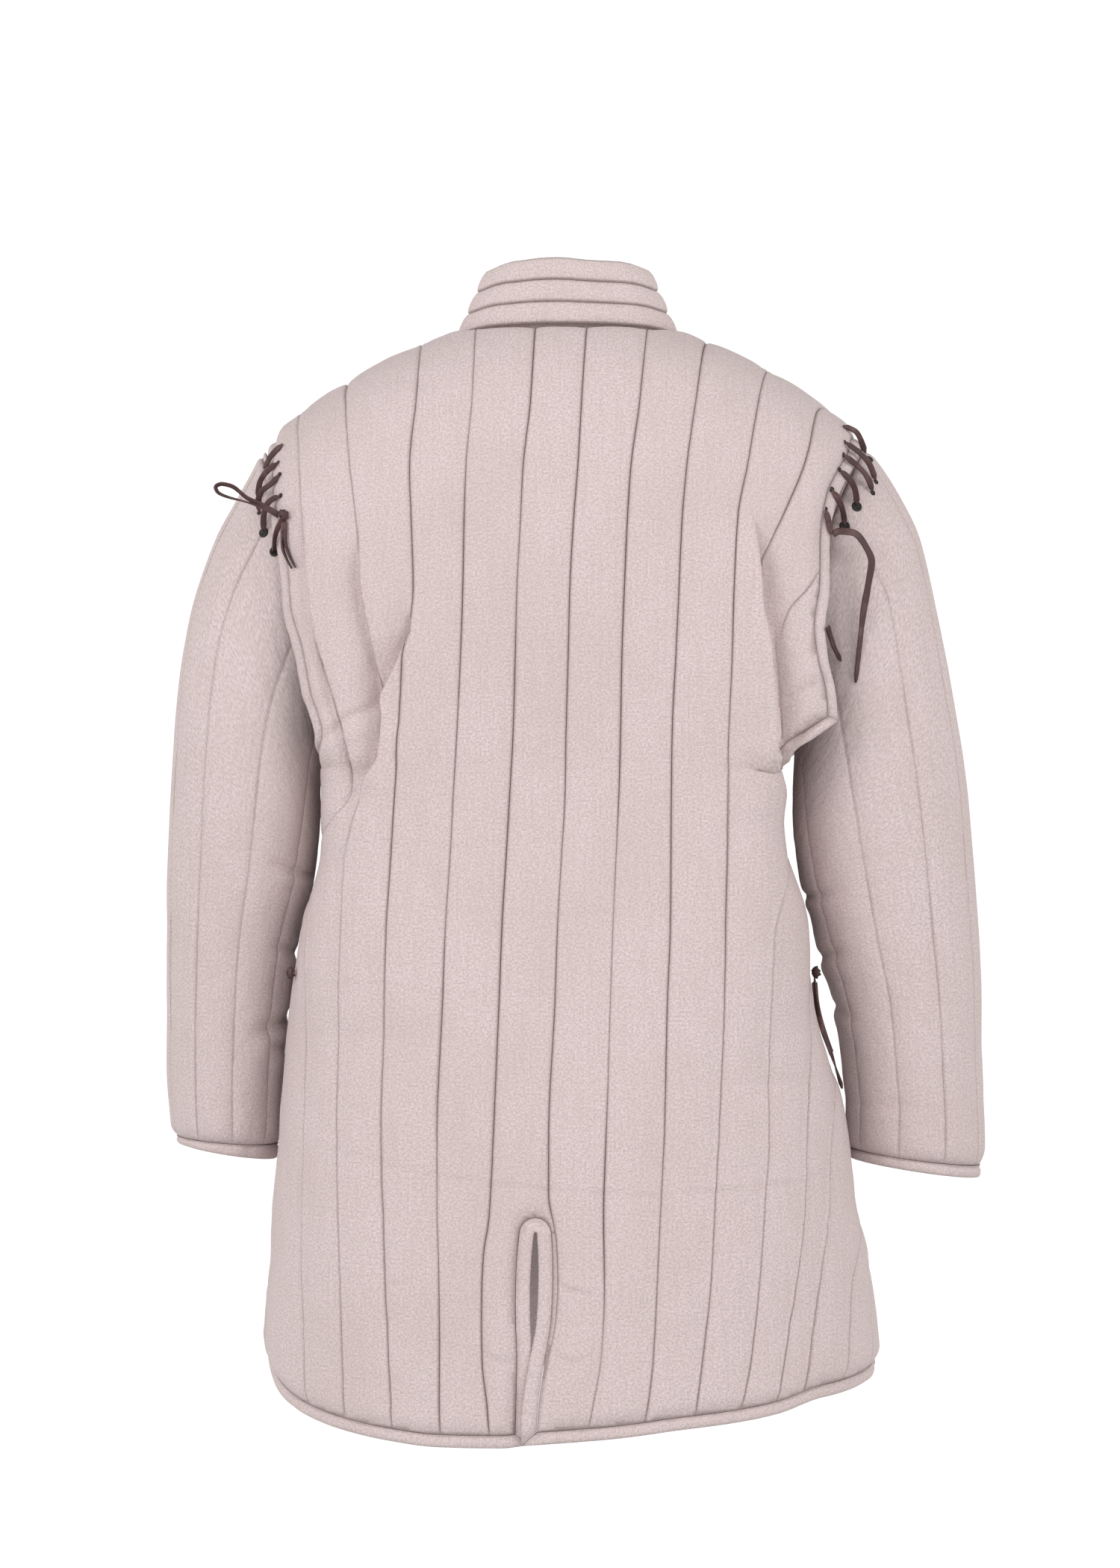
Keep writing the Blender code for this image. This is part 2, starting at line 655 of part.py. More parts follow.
def panel(name, body, outline, edge):
    """A quilted wall: raised outer face, plain inner face, and a narrow side all round."""
    outer_grid = panel_points(body, edge, OUTER_SHARES, OUTER_ROW, OUTER_CLEAR)
    inner_grid = panel_points(body, edge, INNER_SHARES, INNER_ROW, INNER_CLEAR)
    outer, outer_faces = triangulated(edge, *outer_grid)
    inner, inner_faces = triangulated(edge, *inner_grid)
    outer_points = body.place(outer, padded_height(body, outer, edge))
    inner_points = body.place(inner, np.zeros(len(inner)))
    count = len(edge)
    base = len(outer)
    faces = []
    for face in outer_faces:
        forward = face_area(outer, face) * body.side > 0
        faces.append(face if forward else face[::-1])
    for face in inner_faces:
        forward = face_area(inner, face) * body.side > 0
        faces.append((face[::-1] if forward else face) + base)
    turn = outline.area() * body.side > 0
    for i in range(count):
        j = (i + 1) % count
        for side in ((i, i + base, j + base), (i, j + base, j)):
            faces.append(side if turn else side[::-1])
    return solid(name, np.concatenate([outer_points, inner_points]), faces, canvas(name))


def strip(name, body, outer, inner, finish):
    """A narrow folded strip between a panel's cut edge and its finished edge."""
    outer, inner = np.array(outer), np.array(inner)
    for end, near in ((0, 1), (-1, -2)):
        for line in (outer, inner):
            step = line[near] - line[end]
            line[end] = line[end] + step * (BINDING_END_GAP / np.linalg.norm(step))
    rings = []
    for share, height in BINDING_SECTION:
        rings.append(body.place(inner + share * (outer - inner), np.full(len(outer), height)))
    return tube_of(name, np.stack(rings, axis=1), finish)


def tube_of(name, rings, finish, closed=False):
    """A closed solid through rings of points, capped at its ends unless it closes on itself."""
    count, around = rings.shape[:2]
    points = rings.reshape(-1, 3)
    faces = []
    for i in range(count if closed else count - 1):
        k = (i + 1) % count
        for j in range(around):
            n = (j + 1) % around
            a, b, c, d = i * around + j, i * around + n, k * around + n, k * around + j
            faces += [(a, b, c), (a, c, d)]
    if not closed:
        faces.append(tuple(range(around))[::-1])
        faces.append(tuple((count - 1) * around + j for j in range(around)))
    if volume_of(points, faces) < 0:
        faces = [face[::-1] for face in faces]
    return solid(name, points, faces, finish)


def volume_of(points, faces):
    total = 0.0
    for face in faces:
        for i in range(1, len(face) - 1):
            total += np.dot(points[face[0]], np.cross(points[face[i]], points[face[i + 1]]))
    return total / 6


def back_outline(body, spacing):
    line = Outline()
    armhole_right = armhole_edge(body, BACK_ARMHOLE_RIGHT)
    armhole_left = armhole_edge(body, BACK_ARMHOLE_LEFT)
    side_right = side_edge(body, -1, BACK_SIDE, BACK_SIDE_TOP_RIGHT, BACK_SIDE_FOOT_RIGHT)
    side_left = side_edge(body, 1, BACK_SIDE, BACK_SIDE_TOP_LEFT, BACK_SIDE_FOOT_LEFT)
    hem = [body.find(x, 2, z) for x, z in BACK_HEM]
    hem_down = float(np.interp(VENT_AT_HEM, [p[0] for p in hem], [p[1] for p in hem]))
    hem_right = [side_right[-1]] + [p for p in hem if p[0] < VENT_AT_HEM - VENT_HEM_CLEAR][1:]
    hem_right.append((VENT_AT_HEM - VENT_GAP / 2, hem_down))
    hem_left = [(VENT_AT_HEM + VENT_GAP / 2, hem_down)]
    hem_left += [p for p in hem if p[0] > VENT_AT_HEM + VENT_HEM_CLEAR][:-1] + [side_left[-1]]
    top = float(np.interp(-VENT_TOP, -body.grid[:, body.COLUMNS // 2, 2], body.downs))
    downs = np.linspace(hem_down, top, max(4, int((hem_down - top) / spacing)))
    middles = vent_middle(body.height_at(downs))
    vent = [(m - VENT_GAP / 2, d) for m, d in zip(middles, downs)]
    vent += [(m + VENT_GAP / 2, d) for m, d in zip(middles[::-1], downs[::-1])]
    line.add("armhole_right", smooth_path(armhole_right, spacing), BINDING)
    line.add("side_right", smooth_path([armhole_right[-1]] + side_right, spacing), BINDING)
    line.add("hem_right", smooth_path(hem_right, spacing), BINDING)
    line.add("vent", vent, VENT_FACING)
    line.add("hem_left", smooth_path(hem_left, spacing), BINDING)
    line.add("side_left", smooth_path(([armhole_left[-1]] + side_left)[::-1], spacing), BINDING)
    line.add("armhole_left", smooth_path(armhole_left[::-1], spacing), BINDING)
    add_shoulders(line, body, armhole_left[0], armhole_right[0], NECK_BACK, spacing)
    line.close()
    return line


def armhole_edge(body, rows):
    """The armhole from the shoulder's tip on the ridge down to the panel's side."""
    tip = body.find(rows[0][0], 1, body.side * RIDGE_DEPTH)
    return [tip] + [body.find(x, 2, z) for x, z in rows[1:]]


def side_edge(body, hand, rows, top, foot):
    heights = np.linspace(top, foot, 12)
    return [body.find_side(hand, float(table_at(z, rows)), float(z)) for z in heights]


def neck_edge(body, depth):
    """The neck hole's edge, from the left shoulder round to the right one."""
    angles = np.linspace(0, np.pi, 13)
    plan = [(NECK_HALF_WIDTH * np.cos(a), body.side * max(depth * np.sin(a), RIDGE_DEPTH)) for a in angles]
    return [body.find(x, 1, y) for x, y in plan]


def add_shoulders(line, body, left_tip, right_tip, neck_depth, spacing):
    """The shoulder seams along the ridge, and the neck hole between them."""
    neck = neck_edge(body, neck_depth)
    line.add("shoulder_left", smooth_path([left_tip, neck[0]], spacing), GAP / 2)
    line.add("neck", smooth_path(neck, NECK_SPACING), GAP / 2)
    line.add("shoulder_right", smooth_path([neck[-1], right_tip], spacing), GAP / 2)


def front_outline(body, spacing):
    line = Outline()
    armhole_left = armhole_edge(body, FRONT_ARMHOLE)
    armhole_right = armhole_edge(body, [(-x, z) for x, z in FRONT_ARMHOLE])
    side_left = side_edge(body, 1, FRONT_SIDE, FRONT_SIDE_TOP, FRONT_SIDE_FOOT)
    side_right = side_edge(body, -1, FRONT_SIDE, FRONT_SIDE_TOP, FRONT_SIDE_FOOT)
    hem = [body.find(-x, 2, z) for x, z in FRONT_HEM] + [body.find(x, 2, z) for x, z in FRONT_HEM[-2::-1]]
    hem = [side_right[-1]] + hem[1:-1] + [side_left[-1]]
    line.add("armhole_right", smooth_path(armhole_right, spacing), BINDING)
    line.add("side_right", smooth_path([armhole_right[-1]] + side_right, spacing), BINDING)
    line.add("hem", smooth_path(hem, spacing), BINDING)
    line.add("side_left", smooth_path(([armhole_left[-1]] + side_left)[::-1], spacing), BINDING)
    line.add("armhole_left", smooth_path(armhole_left[::-1], spacing), BINDING)
    neck = neck_edge(body, NECK_FRONT)
    middle = len(neck) // 2
    top = neck[middle][1]
    foot = float(np.interp(-SLIT_FOOT, -body.grid[:, body.COLUMNS // 2, 2], body.downs))
    downs = np.linspace(top, foot, max(4, int((foot - top) / spacing)))
    slit = [(SLIT_GAP / 2, down) for down in downs] + [(-SLIT_GAP / 2, down) for down in downs[::-1]]
    neck_left = neck[:middle] + [(SLIT_GAP / 2, top)]
    neck_right = [(-SLIT_GAP / 2, top)] + neck[middle + 1:]
    line.add("shoulder_left", smooth_path([armhole_left[0], neck[0]], spacing), GAP / 2)
    line.add("neck_left", smooth_path(neck_left, NECK_SPACING), GAP / 2)
    line.add("neck_slit", slit, BINDING)
    line.add("neck_right", smooth_path(neck_right, NECK_SPACING), GAP / 2)
    line.add("shoulder_right", smooth_path([neck[-1], armhole_right[0]], spacing), GAP / 2)
    line.close()
    return line


def bound_panel(name, body, outline):
    """A panel and the binding on each of its bound stretches."""
    edge = outline.moved_in()
    inner = outline.moved_in(less=BINDING_GAP)
    panel(f"{name}_panel", body, outline, edge)
    finish = material("binding_canvas", CANVAS_EDGE, 0.9)
    for stretch, (start, end) in outline.spans.items():
        if outline.widths[start] < BINDING / 2:
            continue
        index = [i % len(edge) for i in range(start, end + 1)]
        strip(f"{name}_{stretch}_binding", body, outline.points[index], inner[index], finish)


def collar(back, front):
    """A standing collar inside the neck hole: each section runs up its outer face and down inside."""
    rolls = np.arange(0, 4 * COLLAR_ROLLS + 1) / (4 * COLLAR_ROLLS)
    stand = COLLAR_STAND / COLLAR_HEIGHT
    reach = np.pi - COLLAR_OPENING / 2 / NECK_HALF_WIDTH
    rings = []
    for angle in np.linspace(-reach, reach, COLLAR_RINGS):
        x, y = np.sin(angle), np.cos(angle)
        body, depth = (back, NECK_BACK) if y > 0 else (front, NECK_FRONT)
        plan_y = body.side * max(depth * abs(y), RIDGE_DEPTH)
        foot = body.place([body.find(NECK_HALF_WIDTH * x, 1, plan_y)], np.array([0.002]))[0]
        outwards = unit(np.array([x * depth, y * NECK_HALF_WIDTH, 0.0]))
        section = [(0.0, 0.0)]
        for share in rolls:
            section.append((stand + (1 - stand) * share, COLLAR_ROLL * quilting(COLLAR_ROLLS * share)))
        section += [(share, -COLLAR_WALL) for share in (0.97, 0.66, 0.33, 0.0)]
        ring = []
        for share, out in section:
            lean = share * np.array([COLLAR_LEAN * x, COLLAR_LEAN_BACK * y, 0.0])
            rise = np.array([0.0, 0.0, share * COLLAR_HEIGHT])
            ring.append(foot - outwards * (COLLAR_INSET - out) - lean + rise)
        rings.append(ring)
    tube_of("collar", np.array(rings), canvas("collar"))


class Sleeve:
    """A sleeve's inner face as a surface. along runs from the shoulder to the cuff, around is a share
    of the way round, 0 at the back, positive towards the outer side."""

    def __init__(self, hand, rows, line_share, hug):
        self.hand = hand
        self.hug = hug
        self.line_share = line_share
        table = dict(zip(SLEEVE_COLUMNS, np.array(rows).T))
        middle_x = (table["outer_x"] + table["inner_x"]) / 2
        middle_z = (table["outer_z"] + table["inner_z"]) / 2
        steps = np.hypot(np.diff(middle_x), np.diff(middle_z))
        self.knots = np.concatenate([[0], np.cumsum(steps)])
        self.table = table
        self.length = self.knots[-1]

    def at(self, along, column):
        return curve_through(along, self.knots, self.table[column])

    def place(self, along, around, height):
        along = np.broadcast_to(along, np.shape(around)).astype(float)
        outer = np.stack([self.at(along, "outer_x"), 0 * along, self.at(along, "outer_z")], axis=-1)
        inner = np.stack([self.at(along, "inner_x"), 0 * along, self.at(along, "inner_z")], axis=-1)
        half = np.linalg.norm(outer - inner, axis=-1) / 2
        depth = self.at(along, "half_depth")
        angle = self.angle(around, half, depth)
        reach, swing = np.sin(angle), np.cos(angle)
        out = unit(outer - inner)
        point = (outer + inner) / 2 + out * (half * reach)[..., None]
        point[..., 1] += self.at(along, "middle_y") + depth * swing
        hug = self.hug * np.clip(1 - along / HEAD_HUG_LENGTH, 0, 1) ** 2 * swing**2
        point += np.stack([-out[..., 2], 0 * along, out[..., 0]], axis=-1) * hug[..., None]
        normal = unit(out * (reach / half)[..., None] + np.array([0, 1.0, 0]) * (swing / depth)[..., None])
        point = point + normal * np.reshape(height, np.shape(around) + (1,))
        point[..., 0] *= self.hand
        return point

    def angle(self, around, half, depth):
        """The angle on the ring's ellipse at a share of the way round it."""
        turn = around * 2 * np.pi
        squash = (half - depth) / (half + depth)
        return turn + 0.5 * squash * np.sin(2 * turn)

    def rise(self, around):
        return quilting((around - self.line_share) * SLEEVE_CHANNELS)


def sleeve(name, shape):
    """The quilted tube, its cuff's binding and the binding of its head."""
    columns = np.concatenate([np.arange(SLEEVE_CHANNELS) + part for part in (0.0, 0.2, 0.5, 0.8)])
    around = np.sort(columns) / SLEEVE_CHANNELS + shape.line_share
    start, end = BINDING, shape.length - BINDING
    outer = []
    for along in np.linspace(start, end, 20):
        fade = np.clip(min(along - start, end - along) / EDGE_FADE, 0, 1)
        full = WALL_AT_LINES + (SLEEVE_CROWN - WALL_AT_LINES) * shape.rise(around)
        height = WALL_AT_EDGES + (full - WALL_AT_EDGES) * fade * (2 - fade)
        outer.append(shape.place(along, around, height))
    inner = [shape.place(along, around, 0 * around) for along in np.linspace(start, end, 11)]
    tube_of(name, np.array(outer + inner[::-1]), canvas("sleeve"), closed=True)
    finish = material("binding_canvas", CANVAS_EDGE, 0.9)
    shares = np.arange(24) / 24
    for part, edge, step in (("head", start - SLEEVE_GAP, -1), ("cuff", end + SLEEVE_GAP, 1)):
        rings = []
        for share, height in BINDING_SECTION:
            along = edge + step * share * (BINDING - SLEEVE_GAP)
            rings.append(shape.place(along, shares, np.full(24, height)))
        tube_of(f"{name}_{part}_binding", np.array(rings), finish, closed=True)


class Surfaces:
    """Samples of the back's and the sleeves' outer faces, to lay laces on."""

    def __init__(self, back, outline, sleeves):
        edge = outline.moved_in()
        low, high = outline.points.min(axis=0), outline.points.max(axis=0)
        across, down = np.meshgrid(np.arange(low[0], high[0], 0.004), np.arange(low[1], 0.5, 0.004))
        points = np.stack([across.ravel(), down.ravel()], axis=1)
        points = points[inside(points, outline.points)]
        lower = back.place(points, np.zeros(len(points)))
        height = np.maximum(padded_height(back, points, edge), BINDING_HEIGHT)
        upper = back.place(points, height)
        places, normals = [upper], [unit(upper - lower)]
        for shape in sleeves:
            along, around = np.meshgrid(np.linspace(0, 0.35, 90), np.linspace(-0.3, 0.3, 90))
            low_face = shape.place(along, around, 0 * along)
            rise = BINDING_HEIGHT + (SLEEVE_CROWN - BINDING_HEIGHT) * shape.rise(around)
            high_face = shape.place(along, around, rise)
            places.append(high_face.reshape(-1, 3))
            normals.append(unit(high_face - low_face).reshape(-1, 3))
        self.places, self.normals = np.concatenate(places), np.concatenate(normals)

    def lifted(self, route, lift, spacing):
        """The route, given in x and z, laid on the surfaces and drawn tight over them."""
        route = smooth_path(route, spacing)
        laid = []
        for x, z in route:
            away = np.hypot(self.places[:, 0] - x, self.places[:, 2] - z)
            near = away < max(0.005, away.min() + 0.002)
            top = np.argmax(np.where(near, self.places[:, 1], -9))
            laid.append(self.places[top] + self.normals[top] * lift + [x - self.places[top, 0], 0, 0])
        return np.array(laid)


def tightened(points):
    """The points with no dip towards -Y between two higher ones, as a tight lace lies."""
    along = np.concatenate([[0], np.cumsum(np.linalg.norm(np.diff(points[:, [0, 2]], axis=0), axis=1))])
    y = points[:, 1].copy()
    for i in range(1, len(points) - 1):
        for a in range(i):
            for b in range(i + 1, len(points)):
                t = (along[i] - along[a]) / (along[b] - along[a])
                y[i] = max(y[i], points[a, 1] * (1 - t) + points[b, 1] * t)
    return np.stack([points[:, 0], y, points[:, 2]], axis=1)


def ribbon(name, points, outwards):
    """A flat lace along the points, its face turned to the outwards direction."""
    points = np.asarray(points, float)
    ahead = unit(np.gradient(points, axis=0))
    outwards = np.broadcast_to(outwards, points.shape)
    across = unit(np.cross(ahead, outwards))
    out = unit(np.cross(across, ahead))
    corners = ((-0.5, 0.0), (0.5, 0.0), (0.5, 1.0), (-0.5, 1.0))
    rings = [points + across * (LACE_WIDTH * a) + out * (LACE_THICKNESS * b) for a, b in corners]
    return tube_of(name, np.stack(rings, axis=1), material("lace_leather", LEATHER, 0.55))


def cord(name, points):
    """A lace's free end, as a plain round cord."""
    curve = bpy.data.curves.new(name, "CURVE")
    curve.dimensions = "3D"
    curve.bevel_depth = CORD_RADIUS
    curve.bevel_resolution = 2
    curve.use_fill_caps = True
    spline = curve.splines.new("POLY")
    spline.points.add(len(points) - 1)
    for point, place in zip(spline.points, points):
        point.co = (*place, 1.0)
    curve.materials.append(material("lace_leather", LEATHER, 0.55))
    made = bpy.data.objects.new(name, curve)
    bpy.context.scene.collection.objects.link(made)
    return made


def knot(name, centre, radii):
    made = bpy.data.meshes.new(name)
    shape = bmesh.new()
    bmesh.ops.create_icosphere(shape, subdivisions=1, radius=1.0)
    bmesh.ops.scale(shape, vec=radii, verts=shape.verts)
    bmesh.ops.translate(shape, vec=centre, verts=shape.verts)
    shape.to_mesh(made)
    shape.free()
    made.shade_smooth()
    made.materials.append(material("lace_leather", LEATHER, 0.55))
    thing = bpy.data.objects.new(name, made)
    bpy.context.scene.collection.objects.link(thing)


def side_lacing(hand, name, back, front):
    """A lace crossing the open side from edge to edge, from below the arm to the hip."""
    heights = np.arange(SIDE_LACE_TOP, SIDE_LACE_FOOT, -SIDE_LACE_STEP)
    points = []
    for i, z in enumerate(heights):
        body, rows = (back, BACK_SIDE) if i % 2 == 0 else (front, FRONT_SIDE)
        y = float(table_at(z, rows)) + body.side * SIDE_EYELET_INSET
        place = body.find_side(hand, y, float(z))
        points.append(body.place([place], np.array([SIDE_LACE_LIFT]))[0])
    dense = []
    for first, second in zip(points, points[1:]):
        for t in (0.0, 0.25, 0.5, 0.75):
            bulge = SIDE_LACE_BULGE * 4 * t * (1 - t)
            dense.append(first + t * (second - first) + np.array([hand * bulge, 0, 0]))
    dense.append(points[-1])
    ribbon(name, dense, np.array([hand, 0.0, 0.0]))
    return points[-1]


def main():
    clear_scene()
    back, front = Body(BACK), Body(FRONT)
    outline = back_outline(back, SPACING)
    bound_panel("back", back, outline)
    bound_panel("front", front, front_outline(front, SPACING))
    collar(back, front)
    right = Sleeve(-1, SLEEVE_RIGHT, SLEEVE_LINE_RIGHT, HEAD_HUG_RIGHT)
    left = Sleeve(1, SLEEVE_LEFT, SLEEVE_LINE_LEFT, HEAD_HUG_LEFT)
    sleeve("sleeve_right", right)
    sleeve("sleeve_left", left)
    surfaces = Surfaces(back, outline, (right, left))
    for hand, bars in (("right", RIGHT_BARS), ("left", LEFT_BARS)):
        for i, route in enumerate(bars, 1):
            laid = tightened(surfaces.lifted(route, LACE_LIFT, 0.006))
            ribbon(f"shoulder_lace_{hand}_{i}", laid, np.array([0.0, 1.0, 0.35]))
    for name, route in SHOULDER_CORDS.items():
        cord(name, tightened(surfaces.lifted(route, CORD_LIFT, 0.010)))
    knot("shoulder_knot_left", surfaces.lifted([KNOT_LEFT, KNOT_LEFT_END], KNOT_LIFT, 1.0)[0], KNOT_RADII)
    for hand, side in ((-1, "right"), (1, "left")):
        side_lacing(hand, f"side_lace_{side}", back, front)
        place = back.find_side(hand, SIDE_KNOT_DEPTH[side], SIDE_KNOT_HEIGHT)
        knot(f"side_knot_{side}", back.place([place], np.array([SIDE_KNOT_LIFT]))[0], SIDE_KNOT_RADII)
    for name, route in HIP_CORDS.items():
        places = [back.find_side(-1, y, z) for y, z in smooth_path(route, 0.008)]
        cord(name, back.place(places, np.full(len(places), HIP_CORD_LIFT)))


if __name__ == "__main__":
    main()
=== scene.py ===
"""Looks of the quilted gambeson: padded canvas with stitched channels, bindings, eyelets and laces.

Metres, +Z up. The front faces -Y, the back +Y, and +X is the wearer's left.
"""

import json
from functools import cache

import bpy
import numpy as np
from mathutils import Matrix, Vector
from mathutils.bvhtree import BVHTree
from mathutils.geometry import delaunay_2d_cdt

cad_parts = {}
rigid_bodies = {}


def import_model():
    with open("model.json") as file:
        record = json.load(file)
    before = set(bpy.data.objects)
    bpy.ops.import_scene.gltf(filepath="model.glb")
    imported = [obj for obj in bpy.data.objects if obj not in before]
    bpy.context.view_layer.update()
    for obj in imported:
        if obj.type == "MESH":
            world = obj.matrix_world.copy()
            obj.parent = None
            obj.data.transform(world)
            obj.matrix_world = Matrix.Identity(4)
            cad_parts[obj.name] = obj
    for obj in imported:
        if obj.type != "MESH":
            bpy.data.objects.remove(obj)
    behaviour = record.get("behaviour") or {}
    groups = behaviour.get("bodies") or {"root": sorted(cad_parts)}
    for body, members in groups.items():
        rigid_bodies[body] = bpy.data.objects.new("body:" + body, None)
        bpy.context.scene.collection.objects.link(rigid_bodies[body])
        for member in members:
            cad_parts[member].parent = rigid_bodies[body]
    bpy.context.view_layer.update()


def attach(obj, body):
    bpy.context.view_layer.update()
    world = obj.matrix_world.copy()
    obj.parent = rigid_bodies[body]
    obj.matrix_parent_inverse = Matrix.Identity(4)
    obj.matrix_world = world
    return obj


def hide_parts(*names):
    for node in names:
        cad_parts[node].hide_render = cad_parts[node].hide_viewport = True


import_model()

# Camera and lights
CAMERA_PLACE = (0.007, 3.6, -0.40)
CAMERA_LENS = 91.65
SENSOR = 36.0
WORLD_STRENGTH = 1.09
WORLD_OVERHEAD = 0.24
WORLD_FADE = (0.35, 0.95)
# Area lights: place, size and power
LIGHTS = (
    ((2.3, 2.6, 0.9), 1.6, 34.0),
    ((-2.4, 2.4, 0.7), 1.6, 22.0),
    ((0.0, 3.4, 2.4), 1.4, 16.0),
)
LIGHT_AIM = (0.0, 0.0, -0.45)

# Cloth
CHANNEL = 0.0475
WALL_AT_LINES = 0.0072
WALL_AT_CROWNS = 0.0125
WALL_AT_EDGES = 0.0055
EDGE_FADE = 0.014
GAP = 0.0003
BINDING = 0.011
BINDING_GAP = 0.0004
SLEEVE_GAP = 0.0008
SPACING = 0.005
NECK_SPACING = 0.004
VENT_FACING = 0.0125
BACK, FRONT = 1, -1

# Unevenness of the padding: heights, and the steps of the waves that they come in
LUMP, LUMP_STEP = 0.0010, 0.05
DENT, DENT_STEP = 0.0004, 0.016
TILT, TILT_STEP = 0.0016, 0.12
PUCKER, PUCKER_STEP = 0.0005, 0.007
LINE_FILL, LINE_FILL_REACH = 0.0030, 0.0030
# Half width of the painted shade along each stitched line
GROOVE_SHADE_REACH = 0.0007

# Points across each channel of a panel and the rows they lie in, for its outer and inner faces
OUTER_SHARES = (0.0, 0.016, *(0.05 * step for step in range(1, 20)), 0.984)
OUTER_ROW = 0.0036
INNER_SHARES = (0.0, 0.25, 0.5, 0.75)
INNER_ROW = 0.010
CLEAR = 0.0022

# Shoulder slope
SHOULDER_DROP = 0.118
RIDGE_HEIGHT = 0.010
ARMPIT_HEIGHT = -0.370
RIDGE_DEPTH = 0.0008

# Inner face of the body, row by row down the middle: half widths, depths and squareness
BODY_COLUMNS = ("height", "left", "right", "back", "front", "power")
BODY_ROWS = (
    (0.010, 0.272, 0.272, 0.000, 0.000, 3.6),
    (0.008, 0.272, 0.272, 0.028, 0.028, 3.7),
    (0.000, 0.271, 0.271, 0.050, 0.050, 3.9),
    (-0.018, 0.270, 0.268, 0.073, 0.072, 4.2),
    (-0.050, 0.268, 0.263, 0.094, 0.093, 4.4),
    (-0.100, 0.266, 0.256, 0.109, 0.110, 4.5),
    (-0.200, 0.258, 0.246, 0.122, 0.126, 4.6),
    (-0.290, 0.246, 0.240, 0.124, 0.132, 4.6),
    (-0.340, 0.232, 0.244, 0.123, 0.134, 4.4),
    (-0.385, 0.206, 0.177, 0.122, 0.135, 3.2),
    (-0.455, 0.207, 0.181, 0.126, 0.138, 2.7),
    (-0.525, 0.225, 0.201, 0.135, 0.142, 2.5),
    (-0.600, 0.238, 0.208, 0.148, 0.147, 2.4),
    (-0.680, 0.245, 0.233, 0.162, 0.151, 2.35),
    (-0.760, 0.252, 0.246, 0.171, 0.154, 2.3),
    (-0.850, 0.259, 0.262, 0.178, 0.156, 2.3),
    (-0.990, 0.268, 0.276, 0.184, 0.158, 2.3),
)

# Back's flap behind the right arm: its own row of the body, and how much squarer the section is there
FLAP_ROW = (-0.366, 0.2180, 0.2400, 0.1228, 0.1345, 4.0)
SQUARER_RIGHT = (
    (-0.660, 0.0),
    (-0.540, 1.6),
    (-0.455, 3.6),
    (-0.385, 6.4),
    (-0.366, 3.2),
    (-0.250, 2.5),
    (-0.140, 0.0),
)
SQUARER_LEFT = ((-0.620, 0.0), (-0.525, 0.9), (-0.455, 2.0), (-0.385, 3.2), (-0.366, 1.8), (-0.320, 0.0))
FLAP_FOOT = ((-0.2330, -0.3450), (-0.2130, -0.3600), (-0.1940, -0.3740))

# Front's quilting: how far the line nearest the middle lies from it, at each height
LINE_DRIFT = ((-1.00, 0.020), (-0.79, 0.017), (-0.53, 0.008), (-0.35, 0.000), (-0.11, -0.009), (0.02, -0.024))

